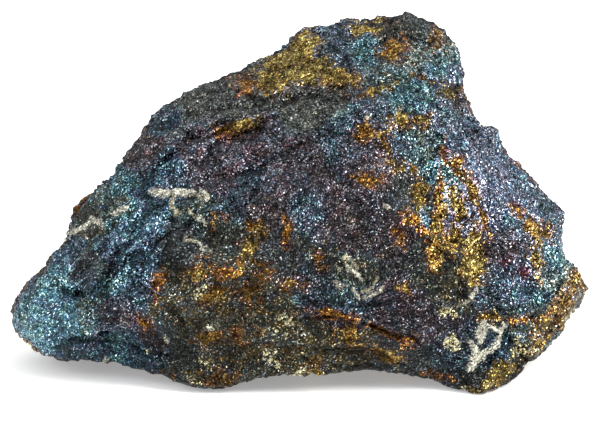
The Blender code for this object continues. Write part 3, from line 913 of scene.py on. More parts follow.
def brass_fields(x, y):
    """How deep in a brass patch a place lies (0.5 on the patch's rim), its tone, and its brightness, partly
    painted light and shade.
    """
    depth = np.zeros(len(x))
    tone_sum = np.zeros(len(x))
    shine_and_shade_sum = np.zeros(len(x))
    total = np.full(len(x), TINY)
    for patch in every_mark(BRASS_PATCHES):
        along, across = turned_from(x, y, patch)
        reach = np.hypot(along / patch.long, across / patch.wide)
        inside = (1.0 - reach) * math.sqrt(patch.long * patch.wide) / BRASS_SLOPE
        depth = np.maximum(depth, np.clip(0.5 + inside, 0.0, 1.0))
        weight = np.exp(-2.0 * reach**2)
        tone_sum += weight * patch.tone
        shine_and_shade_sum += weight * patch.shine
        total += weight
    return depth, tone_sum / total, shine_and_shade_sum / total


def depth_in_line(x, y, places):
    """Pixels that each point lies inside a line of places with half widths; less than 0 outside."""
    deepest = np.full(len(x), -FAR)
    for (start_x, start_y, start_wide), (end_x, end_y, end_wide) in zip(places, places[1:]):
        right = end_x - start_x
        down = end_y - start_y
        share = ((x - start_x) * right + (y - start_y) * down) / (right**2 + down**2)
        share = np.clip(share, 0.0, 1.0)
        away = np.hypot(x - start_x - share * right, y - start_y - share * down)
        deepest = np.maximum(deepest, start_wide + (end_wide - start_wide) * share - away)
    return deepest


def vein_fields(x, y):
    """How deep in the crust of a vein a place lies (0.5 on its edge), and how pale the crust is."""
    field = np.zeros(len(x))
    pale = np.zeros(len(x))
    for vein in every_mark(VEINS):
        depth = np.clip(0.5 + depth_in_line(x, y, vein.places) / VEIN_SLOPE, 0.0, 1.0)
        pale = np.where(depth > field, vein.pale, pale)
        field = np.maximum(field, depth)
    return field, pale


def side_of_line(x, y, places):
    """1 above a line that runs to the right, -1 below it, judged from the nearest stretch."""
    nearest = np.full(len(x), FAR)
    side = np.zeros(len(x))
    for (start_x, start_y), (end_x, end_y) in zip(places, places[1:]):
        away = np.hypot(x - (start_x + end_x) / 2, y - (start_y + end_y) / 2)
        cross = (end_x - start_x) * (y - start_y) - (end_y - start_y) * (x - start_x)
        side = np.where(away < nearest, -np.sign(cross), side)
        nearest = np.minimum(nearest, away)
    return side


def crease_fields(x, y):
    """Depth of the creases and height of the steps above them, both in millimetres."""
    crack = np.zeros(len(x))
    ledge = np.zeros(len(x))
    for crease in every_mark(CREASES):
        away = -depth_in_line(x, y, [(*place, 0.0) for place in crease.places])
        walls = np.exp(-((CRACK_STEEPNESS * away / crease.wide) ** CRACK_POWER))
        crack = np.maximum(crack, crease.deep * walls)
        lift = crease.deep * LEDGE_SHARE * np.exp(-away / (LEDGE_REACH * crease.wide))
        ledge += lift * side_of_line(x, y, crease.places)
    return crack, ledge


def calm_field(x, y):
    """Share of the fracture's height that is left."""
    left = np.ones(len(x))
    for calm in CALM_PLACES.values():
        away = ((x - calm.x) ** 2 + (y - calm.y) ** 2) / calm.reach**2
        left *= 1.0 - calm.share * np.exp(-away)
    return left


def bedding_field(x, y, bed):
    """How strongly the layers of one bedded place show."""
    along, across = turned_from(x, y, bed)
    return bed.share * np.exp(-((along / bed.long) ** 2) - (across / bed.wide) ** 2)


def glitter_field(x, y):
    """1 in the middle of a grain cluster, 0.5 on its edge."""
    field = np.zeros(len(x))
    for cluster in every_mark(GRAIN_CLUSTERS):
        away = np.hypot(x - cluster.x, y - cluster.y) / cluster.reach
        field = np.maximum(field, np.clip(1.0 - 0.5 * away, 0.0, 1.0))
    return field


def fine_copy(step):
    """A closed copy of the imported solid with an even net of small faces."""
    work = bmesh.new()
    work.from_mesh(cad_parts[LUMP_NODE].data)
    bmesh.ops.remove_doubles(work, verts=work.verts, dist=MERGE_DISTANCE)
    mesh = bpy.data.meshes.new("ore_surface")
    work.to_mesh(mesh)
    work.free()
    ob = bpy.data.objects.new("ore_surface", mesh)
    bpy.context.scene.collection.objects.link(ob)
    remesh = ob.modifiers.new("even_net", "REMESH")
    remesh.mode = "VOXEL"
    remesh.voxel_size = step
    make_plain(ob)
    return ob


def make_plain(ob):
    """Turns what the object's modifiers make into its own mesh, and takes them off."""
    seen = ob.evaluated_get(bpy.context.evaluated_depsgraph_get())
    mesh = bpy.data.meshes.new_from_object(seen)
    old = ob.data
    ob.modifiers.clear()
    ob.data = mesh
    mesh.name = ob.name
    if old.users == 0:
        bpy.data.meshes.remove(old)


def halve_edges(mesh, near):
    """Cuts in half every edge whose two ends are both marked as near something fine."""
    work = bmesh.new()
    work.from_mesh(mesh)
    work.verts.ensure_lookup_table()
    edges = [edge for edge in work.edges if near[edge.verts[0].index] and near[edge.verts[1].index]]
    bmesh.ops.subdivide_edges(work, edges=edges, cuts=1, use_grid_fill=True)
    bmesh.ops.triangulate(work, faces=[face for face in work.faces if len(face.verts) > 4])
    work.to_mesh(mesh)
    work.free()


def soften_and_refine(mesh, passes):
    """Softens and nudges the net, then makes it finer on the front and finest round thin marks."""
    points = nudged(softened(mesh, mesh_points(mesh), passes))
    mesh.vertices.foreach_set("co", points.ravel())
    mesh.update()
    halve_edges(mesh, facing_camera(mesh, points, points) > 0.0)
    points = mesh_points(mesh)
    x, y = picture_places(points)
    vein, _ = vein_fields(x, y)
    crack, _ = crease_fields(x, y)
    thin = (vein > 0.5 - FINE_ROUND_VEIN / VEIN_SLOPE) | (crack > FINE_CREASE_MM)
    halve_edges(mesh, thin & (facing_camera(mesh, points, points) > 0.0))


def wobble(points):
    """A small wander in pixels, right and down, that frays the edges of drawn shapes."""
    places = [Vector(point) / (WOBBLE_MM * MM) for point in points]
    right = [WOBBLE_PIXELS * noise.noise(place) for place in places]
    down = [WOBBLE_PIXELS * noise.noise(place + WOBBLE_SHIFT) for place in places]
    return np.array(right), np.array(down)


def mark_front(mesh):
    """Stores on the mesh's points how the front looks there."""
    points = mesh_points(mesh)
    x, y = picture_places(points)
    fields = tarnish_fields(x, y)
    wobble_x, wobble_y = wobble(points)
    fields["brass"], fields["tone"], fields["shine"] = brass_fields(x + wobble_x, y + wobble_y)
    fields["crease"], fields["ledge"] = crease_fields(x + wobble_x, y + wobble_y)
    fields["calm"] = calm_field(x, y)
    total = UNBEDDED_WEIGHT
    turn_sum = UNBEDDED_WEIGHT * math.radians(UNBEDDED_TURN)
    for bed in BEDDINGS:
        bedded = bedding_field(x, y, bed)
        fields["bed_" + bed.name] = bedded
        total = total + bedded
        turn_sum = turn_sum + bedded * math.radians(bed.turn)
    fields["turn"] = turn_sum / total
    fields["vein"], fields["pale"] = vein_fields(x + VEIN_WOBBLE * wobble_x, y + VEIN_WOBBLE * wobble_y)
    fields["glitter"] = glitter_field(x + CLUSTER_WOBBLE * wobble_x, y + CLUSTER_WOBBLE * wobble_y)
    fields["front"] = facing_camera(mesh, points, softened(mesh, points, FRONT_SOFTEN_PASSES))
    for name, values in fields.items():
        layer = mesh.attributes.new(name, "FLOAT", "POINT")
        layer.data.foreach_set("value", values.astype(np.float32))


def new_tree(name, lengths):
    """A node tree that takes a mesh and these lengths, with the identifier of each length's input."""
    tree = bpy.data.node_groups.new(name, "GeometryNodeTree")
    tree.interface.new_socket(name="Geometry", in_out="INPUT", socket_type="NodeSocketGeometry")
    keys = {}
    for label, length in lengths.items():
        socket = tree.interface.new_socket(name=label, in_out="INPUT", socket_type="NodeSocketFloat")
        socket.default_value = length
        keys[label] = socket.identifier
    tree.interface.new_socket(name="Geometry", in_out="OUTPUT", socket_type="NodeSocketGeometry")
    sheet = Sheet(tree)
    return sheet, keys, sheet.add("NodeGroupInput")


def named(sheet, name):
    """What the mesh stores under this name."""
    return sheet.add("GeometryNodeInputNamedAttribute", {"data_type": "FLOAT"}, {"Name": name})


def stored(sheet, geometry, name, value):
    """The mesh with a value stored on its points under this name."""
    return sheet.add(
        "GeometryNodeStoreNamedAttribute",
        {"data_type": "FLOAT", "domain": "POINT"},
        {"Geometry": geometry, "Name": name, "Value": value},
    )


def facets(sheet, place):
    """Height of randomly tilted flat facets, one for each cell."""
    scaled = sheet.vector("SCALE", place, factor=1.0 / FACET_MM)
    cell = sheet.cells(scaled, 1.0)
    away = sheet.vector("SUBTRACT", scaled, cell.output("Position"))
    lean = sheet.centred(cell.output("Color"), 1.0)
    return sheet.dot(away, lean) * (2.0 * FACET_MM * FACET_LEAN * MM)


def layers(sheet, bent, turn):
    """Thin layers with sharp valleys between them, seen edge on from the front."""
    turned = sheet.add(
        "ShaderNodeVectorRotate",
        {"rotation_type": "Y_AXIS"},
        {"Vector": bent, "Angle": math.radians(turn)},
    )
    squeeze = tuple(1.0 / size for size in LAYER_SIZE_MM)
    return sheet.bumps(sheet.vector("MULTIPLY", turned, squeeze), 1.0)


def valley_of(sheet, bumps):
    """1 in the sharp valleys between bumps or layers, 0 on them."""
    return 1.0 - sheet.step(bumps, 0.0, VALLEY_EDGE)


def unseen_sides(sheet, place_mm, bent):
    """The marks of the sides that the picture doesn't show, from noise alone."""
    light = 0.55 + sheet.step(sheet.noise(bent, 16.0, 1.0), 0.35, 0.7) * 0.5
    line = sheet.noise(bent, 22.0, 1.0) - 0.5
    vein = 1.0 - sheet.step(line * line, 0.0, 0.0005)
    warm = sheet.step(sheet.noise(place_mm, 21.0, 1.0), 0.40, 0.60)
    return {
        "film": 0.42 + (sheet.noise(bent, 18.0, 2.0) - 0.5) * 1.9,
        "lively": sheet.step(sheet.noise(place_mm, 15.0, 1.0), 0.38, 0.66) * 0.75 + 0.1,
        "warm": warm,
        "stain": warm * 0.6,
        "mixed": light * 1.2,
        "light": light,
        "brass": sheet.step(sheet.noise(bent, 14.0, 2.0), 0.50, 0.68),
        "tone": sheet.step(sheet.noise(place_mm, 9.0, 1.0), 0.35, 0.65),
        "shine": 0.45 + light * 0.3,
        "vein": vein * sheet.step(sheet.noise(place_mm, 8.0, 1.0), 0.58, 0.66) * 0.8,
        "pale": 0.5 + light * 0.5,
        "glitter": sheet.step(sheet.noise(place_mm, 6.5, 0.0), 0.68, 0.78) * 0.8,
    }


def fracture(sheet, place_mm, bent, front, given):
    """The height of the broken surface, and how deep in a valley or a crack a place lies."""
    back = 1.0 - front
    hackle = given.output("Hackle Height")
    swell = (sheet.noise(place_mm, 9.0, 3.0, 0.5) - 0.5) * (given.output("Swell Height") * 2.0)
    bumps = sheet.bumps(bent, 2.6)
    rough = sheet.bumps(bent, 5.5) + bumps * 0.9 + sheet.bumps(bent, 1.4) * 0.6
    fine = (sheet.noise(place_mm, 1.2, 2.0, 0.6) - 0.5) * 0.4 + sheet.bumps(bent, 0.8) * front * 0.35
    up = sheet.parts(place_mm).z
    calm = (named(sheet, "calm") * front + back) * (sheet.step(up, 0.0, FLOOR_CALM_MM) * 0.5 + 0.5)
    height = (swell + facets(sheet, bent) + rough * hackle) * calm
    height = height + fine * hackle * (calm * 0.5 + 0.5)
    crease = named(sheet, "crease") * (sheet.step(sheet.noise(bent, 4.5, 2.0), 0.32, 0.60) * 0.7 + 0.6)
    valley = valley_of(sheet, bumps) * calm * 0.4
    for bed in BEDDINGS:
        bedded = named(sheet, "bed_" + bed.name) * front
        layer = layers(sheet, bent, bed.turn)
        height = height + layer * bedded * LAYER_HEIGHT
        valley = valley.at_least(valley_of(sheet, layer) * bedded * 0.7)
    height = height + (named(sheet, "ledge") - crease) * front * MM - SINK
    return height, valley.at_least(crease * front)


def relief_tree(material, lengths):
    """The nodes that lay the fracture on the surface and finish the pattern of the unseen sides."""
    sheet, keys, given = new_tree("ore_fracture", lengths)
    place_mm = sheet.vector("SCALE", sheet.add("GeometryNodeInputPosition"), factor=1.0 / MM)
    bend = sheet.centred(sheet.noise(place_mm, 6.0, 3.0, output="Color"), 3.0)
    bent = sheet.vector("ADD", place_mm, bend)
    front = named(sheet, "front")
    height, crack = fracture(sheet, place_mm, bent, front, given)

    back = 1.0 - front
    sides = unseen_sides(sheet, place_mm, bent)
    both = {name: named(sheet, name) * front + value * back for name, value in sides.items()}
    crust = sheet.step(both["vein"], 0.44, 0.62)
    grit = sheet.noise(place_mm, 0.9, 2.0) - 0.5
    height = height * (1.0 - crust * 0.3) + crust * (grit * 0.5 + 0.35) * MM

    geometry = given.output("Geometry")
    for name, value in {**both, "relief": height / MM, "crack": crack}.items():
        geometry = stored(sheet, geometry, name, value)
    normal = sheet.add("GeometryNodeInputNormal")
    offset = sheet.vector("SCALE", normal, factor=height)
    geometry = sheet.add("GeometryNodeSetPosition", None, {"Geometry": geometry, "Offset": offset})
    geometry = kept_above_floor(sheet, geometry)
    geometry = sheet.add("GeometryNodeSetShadeSmooth", None, {0: geometry})
    finish_tree(sheet, geometry, material)
    return sheet.tree, keys


def finish_tree(sheet, geometry, material):
    """Ends a tree: instances made real, in this material."""
    geometry = sheet.add("GeometryNodeRealizeInstances", None, {0: geometry})
    geometry = sheet.add("GeometryNodeSetMaterial", None, {0: geometry, "Material": material})
    sheet.add("NodeGroupOutput", None, {0: geometry})


def kept_above_floor(sheet, geometry):
    """Lifts to the floor whatever lies below it."""
    across, along, up = sheet.parts(sheet.add("GeometryNodeInputPosition"))
    level = sheet.add("ShaderNodeCombineXYZ", None, {0: across, 1: along, 2: up.at_least(0.0)})
    return sheet.add("GeometryNodeSetPosition", None, {"Geometry": geometry, "Position": level})


def new_material(name):
    """A material with its sheet, the place on the object in millimetres, and its main shader."""
    material = bpy.data.materials.new(name)
    material.use_nodes = True
    sheet = Sheet(material.node_tree)
    place = sheet.vector("SCALE", sheet.add("ShaderNodeTexCoord", output="Object"), factor=1.0 / MM)
    return material, sheet, place, material.node_tree.nodes["Principled BSDF"]


def hatched(sheet, bent, grain, turn):
    """Thin grains that lie the same way within a patch, each patch turned a little from the layers."""
    patch = sheet.cells(bent, grain * 3.2)
    angle = sheet.parts(patch.output("Color")).x
    turned = sheet.add(
        "ShaderNodeVectorRotate",
        {"rotation_type": "Y_AXIS"},
        {"Vector": bent, "Center": patch.output("Position"), "Angle": (angle - 0.5) * 2.4 + turn},
    )
    thin = 1.0 / (grain * 0.25)
    return sheet.cells(sheet.vector("MULTIPLY", turned, (thin * 0.5, thin * 0.8, thin)), 1.0)


class OreColourAndLight:
    """The colours of the ore, with its painted light, shade and glints, which share the marks, the grains and
    some soft noise.

    Each flake, coarse grain and thin grain has three random numbers, x, y and z, from 0 to 1.
    """

    def __init__(self, sheet, place, colours, grain):
        self.sheet = sheet
        self.colours = colours
        bend = sheet.centred(sheet.noise(place, 1.6, 2.0, output="Color"), 0.9)
        bent = sheet.vector("ADD", place, bend)
        self.flake_lean = sheet.cells(bent, grain * 2.6).output("Color")
        self.coarse_grain = sheet.cells(bent, grain)
        self.coarse_lean = self.coarse_grain.output("Color")
        thin_grain = hatched(sheet, bent, grain, self.mark("turn"))
        self.thin_lean = thin_grain.output("Color")
        # 1 towards the edges of the thin grains, where painted shade falls between them.
        self.gap = sheet.step(thin_grain, 0.28, 0.56)
        self.flake = sheet.parts(self.flake_lean)
        self.coarse = sheet.parts(self.coarse_lean)
        self.thin = sheet.parts(self.thin_lean)
        self.blotch = sheet.noise(place, 1.7, 3.0, 0.6)
        self.fray = sheet.noise(place, 0.9, 3.0, 0.7)
        self.streak = sheet.noise(sheet.vector("MULTIPLY", bent, (1.0, 1.0, 0.5)), 1.3, 3.0, 0.65)
        self.soft = sheet.noise(place, 7.0, 2.0, 0.5)
        self.spots = sheet.noise(sheet.vector("MULTIPLY", bent, (1.0, 1.0, 1.6)), 3.2, 2.0, 0.6)
        self.seam = sheet.step(sheet.bumps(place, 1.1), 0.0, 0.12) * 0.55 + 0.45
        self.wild = self.thin.y**6.0
        self.contrast = (self.mark("lively") * 1.3 + 0.1).at_most(1.0) * (self.mark("calm") * 0.6 + 0.4)
        self.lustre = sheet.step(sheet.noise(place, 3.4, 2.0, 0.6), 0.32, 0.68) * self.contrast

    def mark(self, name):
        """What the mesh stores for this mark."""
        return self.sheet.add("ShaderNodeAttribute", {"attribute_name": name}, output="Fac")

    def tarnish(self):
        """How lively the film is, and the colour of the film over the dull ground."""
        spread = (self.blotch - 0.5) * 0.2 + (self.flake.y - 0.5) * 0.34 + (self.coarse.x - 0.5) * 0.2
        spread = spread + (self.thin.x - 0.5) * (self.wild * 0.6 + 0.2)
        film = self.mark("film") + spread * self.mark("mixed")
        patchy = self.blotch * 0.9 + self.flake.z * 0.5 + (self.coarse.y + self.thin.y) * 0.5 - 0.2
        lively = self.mark("lively") * patchy + self.wild * 0.3
        lively = lively.at_least(0.0).at_most(1.0)
        stops = [(place, getattr(self.colours, name)) for name, place in FILM_STOPS.items()]
        film_colour = self.sheet.add("ShaderNodeValToRGB", {"stops": stops}, {0: film})
        ground = self.sheet.blend(self.mark("warm"), self.colours.grey_ground, self.colours.brown_ground)
        return lively, self.sheet.blend(lively, ground, film_colour)

    def rusted(self, ore):
        """The ore with its rusty spots."""
        sheet = self.sheet
        stain = self.mark("stain")
        stained = sheet.step(self.spots + stain * 0.22 + (self.coarse.x - 0.5) * 0.25, 0.60, 0.82)
        stained = stained * sheet.step(stain, 0.0, 0.3)
        tone = sheet.step(self.soft + (self.coarse.y - 0.5) * 0.7, 0.38, 0.78)
        rust = sheet.blend(tone, self.colours.brass, self.colours.copper)
        return sheet.blend(stained * 0.7, ore, sheet.tinted(rust, 0.40))

    def brass_shares(self):
        """Where brass-coloured ore shows, and the wider rim round it."""
        broken = (self.streak - 0.5) * 0.5 + (self.fray - 0.5) * 0.4 + (self.coarse.y - 0.5) * 0.36
        broken = broken + (self.flake.y - 0.5) * 0.22
        depth = self.mark("brass") + broken
        return self.sheet.step(depth, 0.46, 0.60), self.sheet.step(depth, 0.24, 0.50)

    def brass_tone(self):
        """Where each grain of a brass patch lies between brass yellow (0) and copper orange (1)."""
        tone = self.mark("tone") + (self.coarse.z - 0.5) * 0.5 + (self.flake.y - 0.5) * 0.5
        tone = tone + (self.soft - 0.5) * 0.4 + (self.thin.x - 0.5) * 0.3
        return tone.at_least(0.0).at_most(1.0)

    def rimmed(self, ore, rim, tone):
        """The ore with magenta and copper film round the brass patches."""
        share = self.sheet.step(self.coarse.z, 0.3, 0.7)
        rim_colour = self.sheet.blend(share, self.colours.magenta, self.colours.copper)
        return self.sheet.blend(rim * (tone * 0.7 + 0.1), ore, rim_colour)

    def facet_light(self):
        """Painted light and shade for each grain: painted shade in the gaps between grains, in pits, in low
        places, valleys and cracks, and each flake brighter or darker at random.
        """
        sheet = self.sheet
        # Painted shade in the low places of the relief, and along cracks and valleys.
        hollow_shade = sheet.step(self.mark("relief"), -0.9, 1.0) * 0.76 + 0.49
        hollow_shade = hollow_shade * (1.0 - sheet.step(self.mark("crack"), 0.10, 0.80) * 0.48)
        # The painted shade in pits is deeper where the ore is painted brighter.
        pit_shade_strength = (self.mark("light") * 0.36).at_most(0.75) * (self.mark("calm") * 0.7 + 0.3)
        pit_shade = sheet.step(self.coarse_grain, 0.42, 0.72) * pit_shade_strength
        # Painted shade in the gaps between grains.
        closed = self.contrast * 0.36 + 1.1 - self.gap * (self.contrast * 0.54 + 0.68)
        closed = closed * (1.0 - pit_shade) * hollow_shade
        return (0.84 + self.flake.x * 0.25 + (self.flake.x**6.0) * 0.4) * closed

    def lit(self, ore, painted_facet_light):
        """The ore brightened and darkened by the painted light and shade of the light mark, with painted
        glints, the brightest of which are painted highlights that are nearly white.
        """
        # The light mark is painted light and shade as well as the ore's own brightness.
        light = self.mark("light")
        even = 0.38 - self.contrast * 0.08 - self.lustre * 0.24 + (self.coarse.x**4.0) * 0.2
        glow = light * (even + (self.thin.z**2.2) * (self.contrast * 0.15 + 0.55 + self.lustre * 1.6))
        # Painted glints: highlights on the grains that would catch the lamps.
        glint = (light**1.4) * (self.thin.z**10.0) * (3.0 + self.lustre * 9.0)
        ore = self.sheet.tinted(ore, (glow + glint) * painted_facet_light * (1.55 - self.contrast * 0.55))
        # The brightest grains are painted nearly white, as highlights.
        return self.sheet.blend(self.sheet.step(self.thin.z, 0.95, 1.0) * 0.25, ore, GLINT_COLOUR)

    def brass_colour(self, tone, painted_facet_light):
        """The colour of the brass patches, brightened and darkened by painted light and shade, with painted
        glints and painted shade along cracks.
        """
        sheet = self.sheet
        shine = self.mark("shine")
        colour = sheet.tinted(sheet.blend(tone, self.colours.brass, self.colours.copper), shine)
        # Painted shade along cracks and valleys.
        crack_shade = 1.0 - sheet.step(self.mark("crack"), 0.08, 0.45) * 0.6
        brass_painted_light = painted_facet_light * crack_shade * (0.65 + self.flake.x * 0.7)
        dull = (1.0 - shine).at_least(0.0)
        # Painted light and glints: dull brass glows evenly, bright brass has strong painted glints.
        glow = 0.07 + dull * 0.5 + (self.thin.z**1.6) * 1.5
        glow = glow + (self.thin.z**8.0) * (5.5 - dull * 4.5) + self.coarse.x * 0.25
        return sheet.tinted(colour, glow * brass_painted_light)

    def glittering(self, ore):
        """The ore with the clusters of pale grains on their dark ground, each grain darker towards its edges
        in painted shade.
        """
        sheet = self.sheet
        ragged = self.mark("glitter") + (self.fray - 0.5) * 0.5 + (self.coarse.y - 0.5) * 0.5
        pale = sheet.step(self.coarse.z * 0.45 + self.thin.z * 0.55, 0.47, 0.67) * (1.0 - self.gap * 0.72)
        cluster_colour = sheet.blend(pale, CLUSTER_GROUND, self.colours.pale_grain)
        return sheet.blend(sheet.step(ragged, 0.50, 0.60), ore, cluster_colour)

    def crust_share(self):
        """Where vein crust covers the ore."""
        ragged = self.mark("vein") + (self.fray - 0.5) * 0.9 + (self.thin.x - 0.5) * 0.35
        return self.sheet.step(ragged, 0.46, 0.54)

    def crust_colour(self):
        """The crust, dusty or white, with fine dark seams."""
        sheet = self.sheet
        pale = self.mark("pale")
        shade = (self.fray * 0.4 + (self.thin.z**1.8) * 1.6) * (self.coarse.x * 0.5 + 0.75) * self.seam * pale
        colour = sheet.blend(sheet.step(pale, 0.3, 0.9), self.colours.dusty_crust, self.colours.crust)
        return sheet.tinted(colour, shade)

    def leaning_normal(self, crust):
        """The normal with each grain's lean, which is less on the crust, and fine bumps."""
        sheet = self.sheet
        lean = sheet.vector("ADD", sheet.centred(self.coarse_lean, 0.25), sheet.centred(self.thin_lean, 1.4))
        lean = sheet.vector("ADD", lean, sheet.centred(self.flake_lean, 0.25))
        lean = sheet.vector("SCALE", lean, factor=1.0 - crust * 0.7)
        normal = sheet.add("ShaderNodeNewGeometry", output="Normal")
        leaning = sheet.vector("NORMALIZE", sheet.vector("ADD", normal, lean))
        bump = {"Strength": 0.5, "Distance": 0.12 * MM, "Height": self.fray, "Normal": leaning}
        return sheet.add("ShaderNodeBump", None, bump)


def ore_material(colours, sizes):
    """Tarnished ore, grain by grain, with its brass patches and its white crust, and with painted light,
    shade and glints in its colour.
    """
    material, sheet, place, shader = new_material("tarnished_ore")
    ore_colour_and_light = OreColourAndLight(sheet, place, colours, sizes.grain_size / MM)
    lively, ore = ore_colour_and_light.tarnish()
    ore = ore_colour_and_light.rusted(ore)
    brass, rim = ore_colour_and_light.brass_shares()
    tone = ore_colour_and_light.brass_tone()
    painted_facet_light = ore_colour_and_light.facet_light()
    ore = ore_colour_and_light.lit(ore_colour_and_light.rimmed(ore, rim, tone), painted_facet_light)
    ore = sheet.blend(brass, ore, ore_colour_and_light.brass_colour(tone, painted_facet_light))
    crust = ore_colour_and_light.crust_share()
    ore = sheet.blend(crust, ore_colour_and_light.glittering(ore), ore_colour_and_light.crust_colour())
    roughness = 0.26 + ore_colour_and_light.thin.y * 0.24 + crust * 0.35 + (1.0 - lively) * 0.06
    sheet.feed(shader.inputs["Base Color"], ore)
    sheet.feed(shader.inputs["Roughness"], roughness)
    sheet.feed(shader.inputs["Metallic"], (0.90 + brass * 0.08) * (1.0 - crust))
    sheet.feed(shader.inputs["Normal"], ore_colour_and_light.leaning_normal(crust))
    return material


def crystal_material(colours):
    """Pale brassy grains with bright faces."""
    material, sheet, place, shader = new_material("pale_sulphide")
    chance = sheet.parts(sheet.cells(place, 0.8).output("Color"))
    colour = sheet.blend(chance.x, colours.pale_grain, colours.brass)
    sheet.feed(shader.inputs["Base Color"], sheet.tinted(colour, 0.6 + chance.y * 0.7))
    sheet.feed(shader.inputs["Roughness"], 0.18 + chance.z * 0.2)
    sheet.feed(shader.inputs["Metallic"], 1.0)
    return material


def crystal_tree(material, lengths):
    """The nodes that stand small blocky grains on the clusters of a surface."""
    sheet, keys, given = new_tree("ore_grains", lengths)
    density = sheet.step(named(sheet, "glitter"), 0.45, 0.75) * CRYSTAL_DENSITY
    points = sheet.add(
        "GeometryNodeDistributePointsOnFaces",
        {"distribute_method": "RANDOM"},
        {"Mesh": given.output("Geometry"), "Density": density, "Seed": PLACE_SEED},
    )
    block = sheet.add("GeometryNodeMeshIcoSphere", None, {"Radius": 0.5, "Subdivisions": 1})

    def random_vector(low, high, seed):
        return sheet.add(
            "FunctionNodeRandomValue",
            {"data_type": "FLOAT_VECTOR"},
            {0: (low, low, low), 1: (high, high, high), "Seed": seed},
        )

    width = random_vector(*CRYSTAL_WIDTHS, WIDTH_SEED)
    grains = sheet.add(
        "GeometryNodeInstanceOnPoints",
        None,
        {
            "Points": points,
            "Instance": block,
            "Rotation": random_vector(0.0, math.tau, TURN_SEED),
            "Scale": sheet.vector("SCALE", width, factor=given.output("Grain Size")),
        },
    )
    geometry = sheet.add("GeometryNodeRealizeInstances", None, {0: grains})
    finish_tree(sheet, kept_above_floor(sheet, geometry), material)
    return sheet.tree, keys


def add_nodes(ob, name, tree, keys, values):
    """Puts a tree on the object, with its inputs set by identifier."""
    modifier = ob.modifiers.new(name, "NODES")
    modifier.node_group = tree
    for label, value in values.items():
        modifier[keys[label]] = value


def settle_piece(ob):
    """Puts a piece on the lump's body."""
    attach(ob, BODY)


class SPECIMEN_OT_surface(bpy.types.Operator):
    """Build the broken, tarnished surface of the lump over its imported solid"""

    bl_idname = "specimen.surface"
    bl_label = "Ore Surface"

    def execute(self, context):
        sizes = context.scene.specimen_sizes
        ob = fine_copy(sizes.mesh_step)
        soften_and_refine(ob.data, sizes.soften_passes)
        mark_front(ob.data)
        material = ore_material(context.scene.specimen_colours, sizes)
        heights = {"Swell Height": sizes.swell_height, "Hackle Height": sizes.hackle_height}
        tree, keys = relief_tree(material, heights)
        add_nodes(ob, "fracture", tree, keys, heights)
        make_plain(ob)
        if not ob.data.materials:
            raise RuntimeError("the ore surface has no material")
        settle_piece(ob)
        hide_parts(LUMP_NODE)
        return {"FINISHED"}


class SPECIMEN_OT_grains(bpy.types.Operator):
    """Stand pale sulphide grains on the clusters of the surface"""

    bl_idname = "specimen.grains"
    bl_label = "Sulphide Grains"

    def execute(self, context):
        sizes = context.scene.specimen_sizes
        surface = bpy.data.objects["ore_surface"]
        ob = bpy.data.objects.new("ore_grains", surface.data.copy())
        context.scene.collection.objects.link(ob)
        lengths = {"Grain Size": sizes.crystal_size}
        tree, keys = crystal_tree(crystal_material(context.scene.specimen_colours), lengths)
        add_nodes(ob, "grains", tree, keys, lengths)
        make_plain(ob)
        if not ob.data.polygons:
            raise RuntimeError("no sulphide grain was made")
        settle_piece(ob)
        return {"FINISHED"}


def floor_material(glow):
    """Matt, nearly white, and glowing a little by itself."""
    material = bpy.data.materials.new("pale_floor")
    material.use_nodes = True
    shader = material.node_tree.nodes["Principled BSDF"]
    shader.inputs["Base Color"].default_value = FLOOR_COLOUR
    shader.inputs["Roughness"].default_value = FLOOR_ROUGHNESS
    shader.inputs["Emission Color"].default_value = WHITE
    shader.inputs["Emission Strength"].default_value = glow
    return material


def sky(strength):
    """A soft sky: bright overhead, dim towards the horizon."""
    world = bpy.data.worlds.new("soft_sky")
    world.use_nodes = True
    sheet = Sheet(world.node_tree)
    up = sheet.parts(sheet.add("ShaderNodeTexCoord", output="Generated")).z
    glow = sheet.step(up, *SKY_RISE) * (SKY_GAIN * strength) + SKY_LOW_GLOW * strength
    shade = world.node_tree.nodes["Background"]
    sheet.feed(shade.inputs["Strength"], glow)
    sheet.feed(shade.inputs["Color"], WHITE)
    return world


def far_light(name, light, key_strength):
    """A soft light so far off that it falls evenly over the floor."""
    data = bpy.data.lights.new(name, "SUN")
    data.energy = key_strength * light.share
    data.angle = math.radians(light.spread)
    data.color = light.colour
    ob = bpy.data.objects.new(name, data)
    bpy.context.scene.collection.objects.link(ob)
    ob.location = light.place
    ob.rotation_euler = (-Vector(light.place)).to_track_quat("-Z", "Y").to_euler()


def add_floor(scene, side, glow):
    """A square floor at the height that the lump stands on."""
    half = side / 2
    mesh = bpy.data.meshes.new("floor")
    corners = [(-half, -half, 0.0), (half, -half, 0.0), (half, half, 0.0), (-half, half, 0.0)]
    mesh.from_pydata(corners, [], [(0, 1, 2, 3)])
    mesh.materials.append(floor_material(glow))
    floor = bpy.data.objects.new("floor", mesh)
    scene.collection.objects.link(floor)


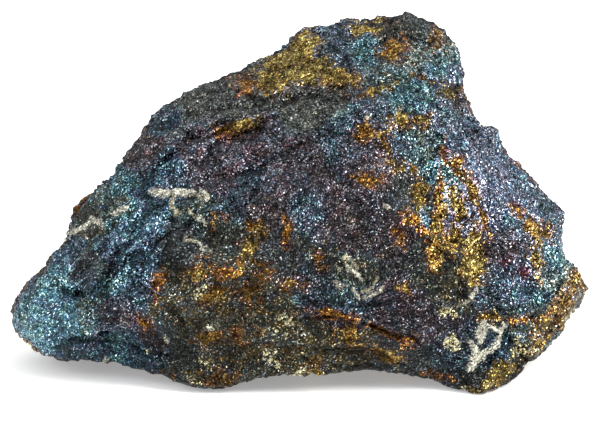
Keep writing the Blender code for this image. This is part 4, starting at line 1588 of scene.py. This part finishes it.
def add_camera(scene):
    """The camera that sees the lump as the picture does."""
    data = bpy.data.cameras.new("camera")
    data.sensor_width = CAMERA_SENSOR
    data.lens = CAMERA_LENS
    data.clip_start = CAMERA_CLIP
    camera = bpy.data.objects.new("camera", data)
    scene.collection.objects.link(camera)
    camera.location = camera_place()
    camera.rotation_euler = camera_direction().to_track_quat("-Z", "Y").to_euler()
    scene.camera = camera


class SPECIMEN_OT_stage(bpy.types.Operator):
    """Make the floor, the soft light and the camera"""

    bl_idname = "specimen.stage"
    bl_label = "Stage"

    def execute(self, context):
        scene = context.scene
        stage = scene.specimen_stage
        add_floor(scene, stage.floor_size, stage.floor_glow)
        add_camera(scene)
        scene.world = sky(stage.sky_strength)
        for name, light in LIGHTS.items():
            far_light(name, light, stage.key_strength)
        scene.view_settings.view_transform = "Standard"
        if not scene.camera:
            raise RuntimeError("the stage has no camera")
        return {"FINISHED"}


class SPECIMEN_PT_panel(bpy.types.Panel):
    """Lists the specimen's parts and their sizes and colours"""

    bl_idname = "SPECIMEN_PT_panel"
    bl_label = "Bornite Specimen"
    bl_space_type = "VIEW_3D"
    bl_region_type = "UI"
    bl_category = "Bornite"

    def draw(self, context):
        layout = self.layout
        for group in GROUPS:
            settings = getattr(context.scene, group)
            box = layout.box()
            for name in settings.__annotations__:
                box.prop(settings, name)
        for operator in OPERATORS:
            layout.operator(operator.bl_idname)


GROUPS = {
    "specimen_sizes": SpecimenSizes,
    "specimen_colours": SpecimenColours,
    "specimen_stage": SpecimenStage,
}
OPERATORS = (SPECIMEN_OT_surface, SPECIMEN_OT_grains, SPECIMEN_OT_stage)
CLASSES = (*GROUPS.values(), *OPERATORS, SPECIMEN_PT_panel)


def register():
    for cls in CLASSES:
        bpy.utils.register_class(cls)
    for name, group in GROUPS.items():
        setattr(bpy.types.Scene, name, bpy.props.PointerProperty(type=group))


def unregister():
    for name in GROUPS:
        delattr(bpy.types.Scene, name)
    for cls in reversed(CLASSES):
        bpy.utils.unregister_class(cls)


def main():
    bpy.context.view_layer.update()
    register()
    bpy.ops.specimen.stage()
    bpy.ops.specimen.surface()
    bpy.ops.specimen.grains()


if __name__ == "__main__":
    main()
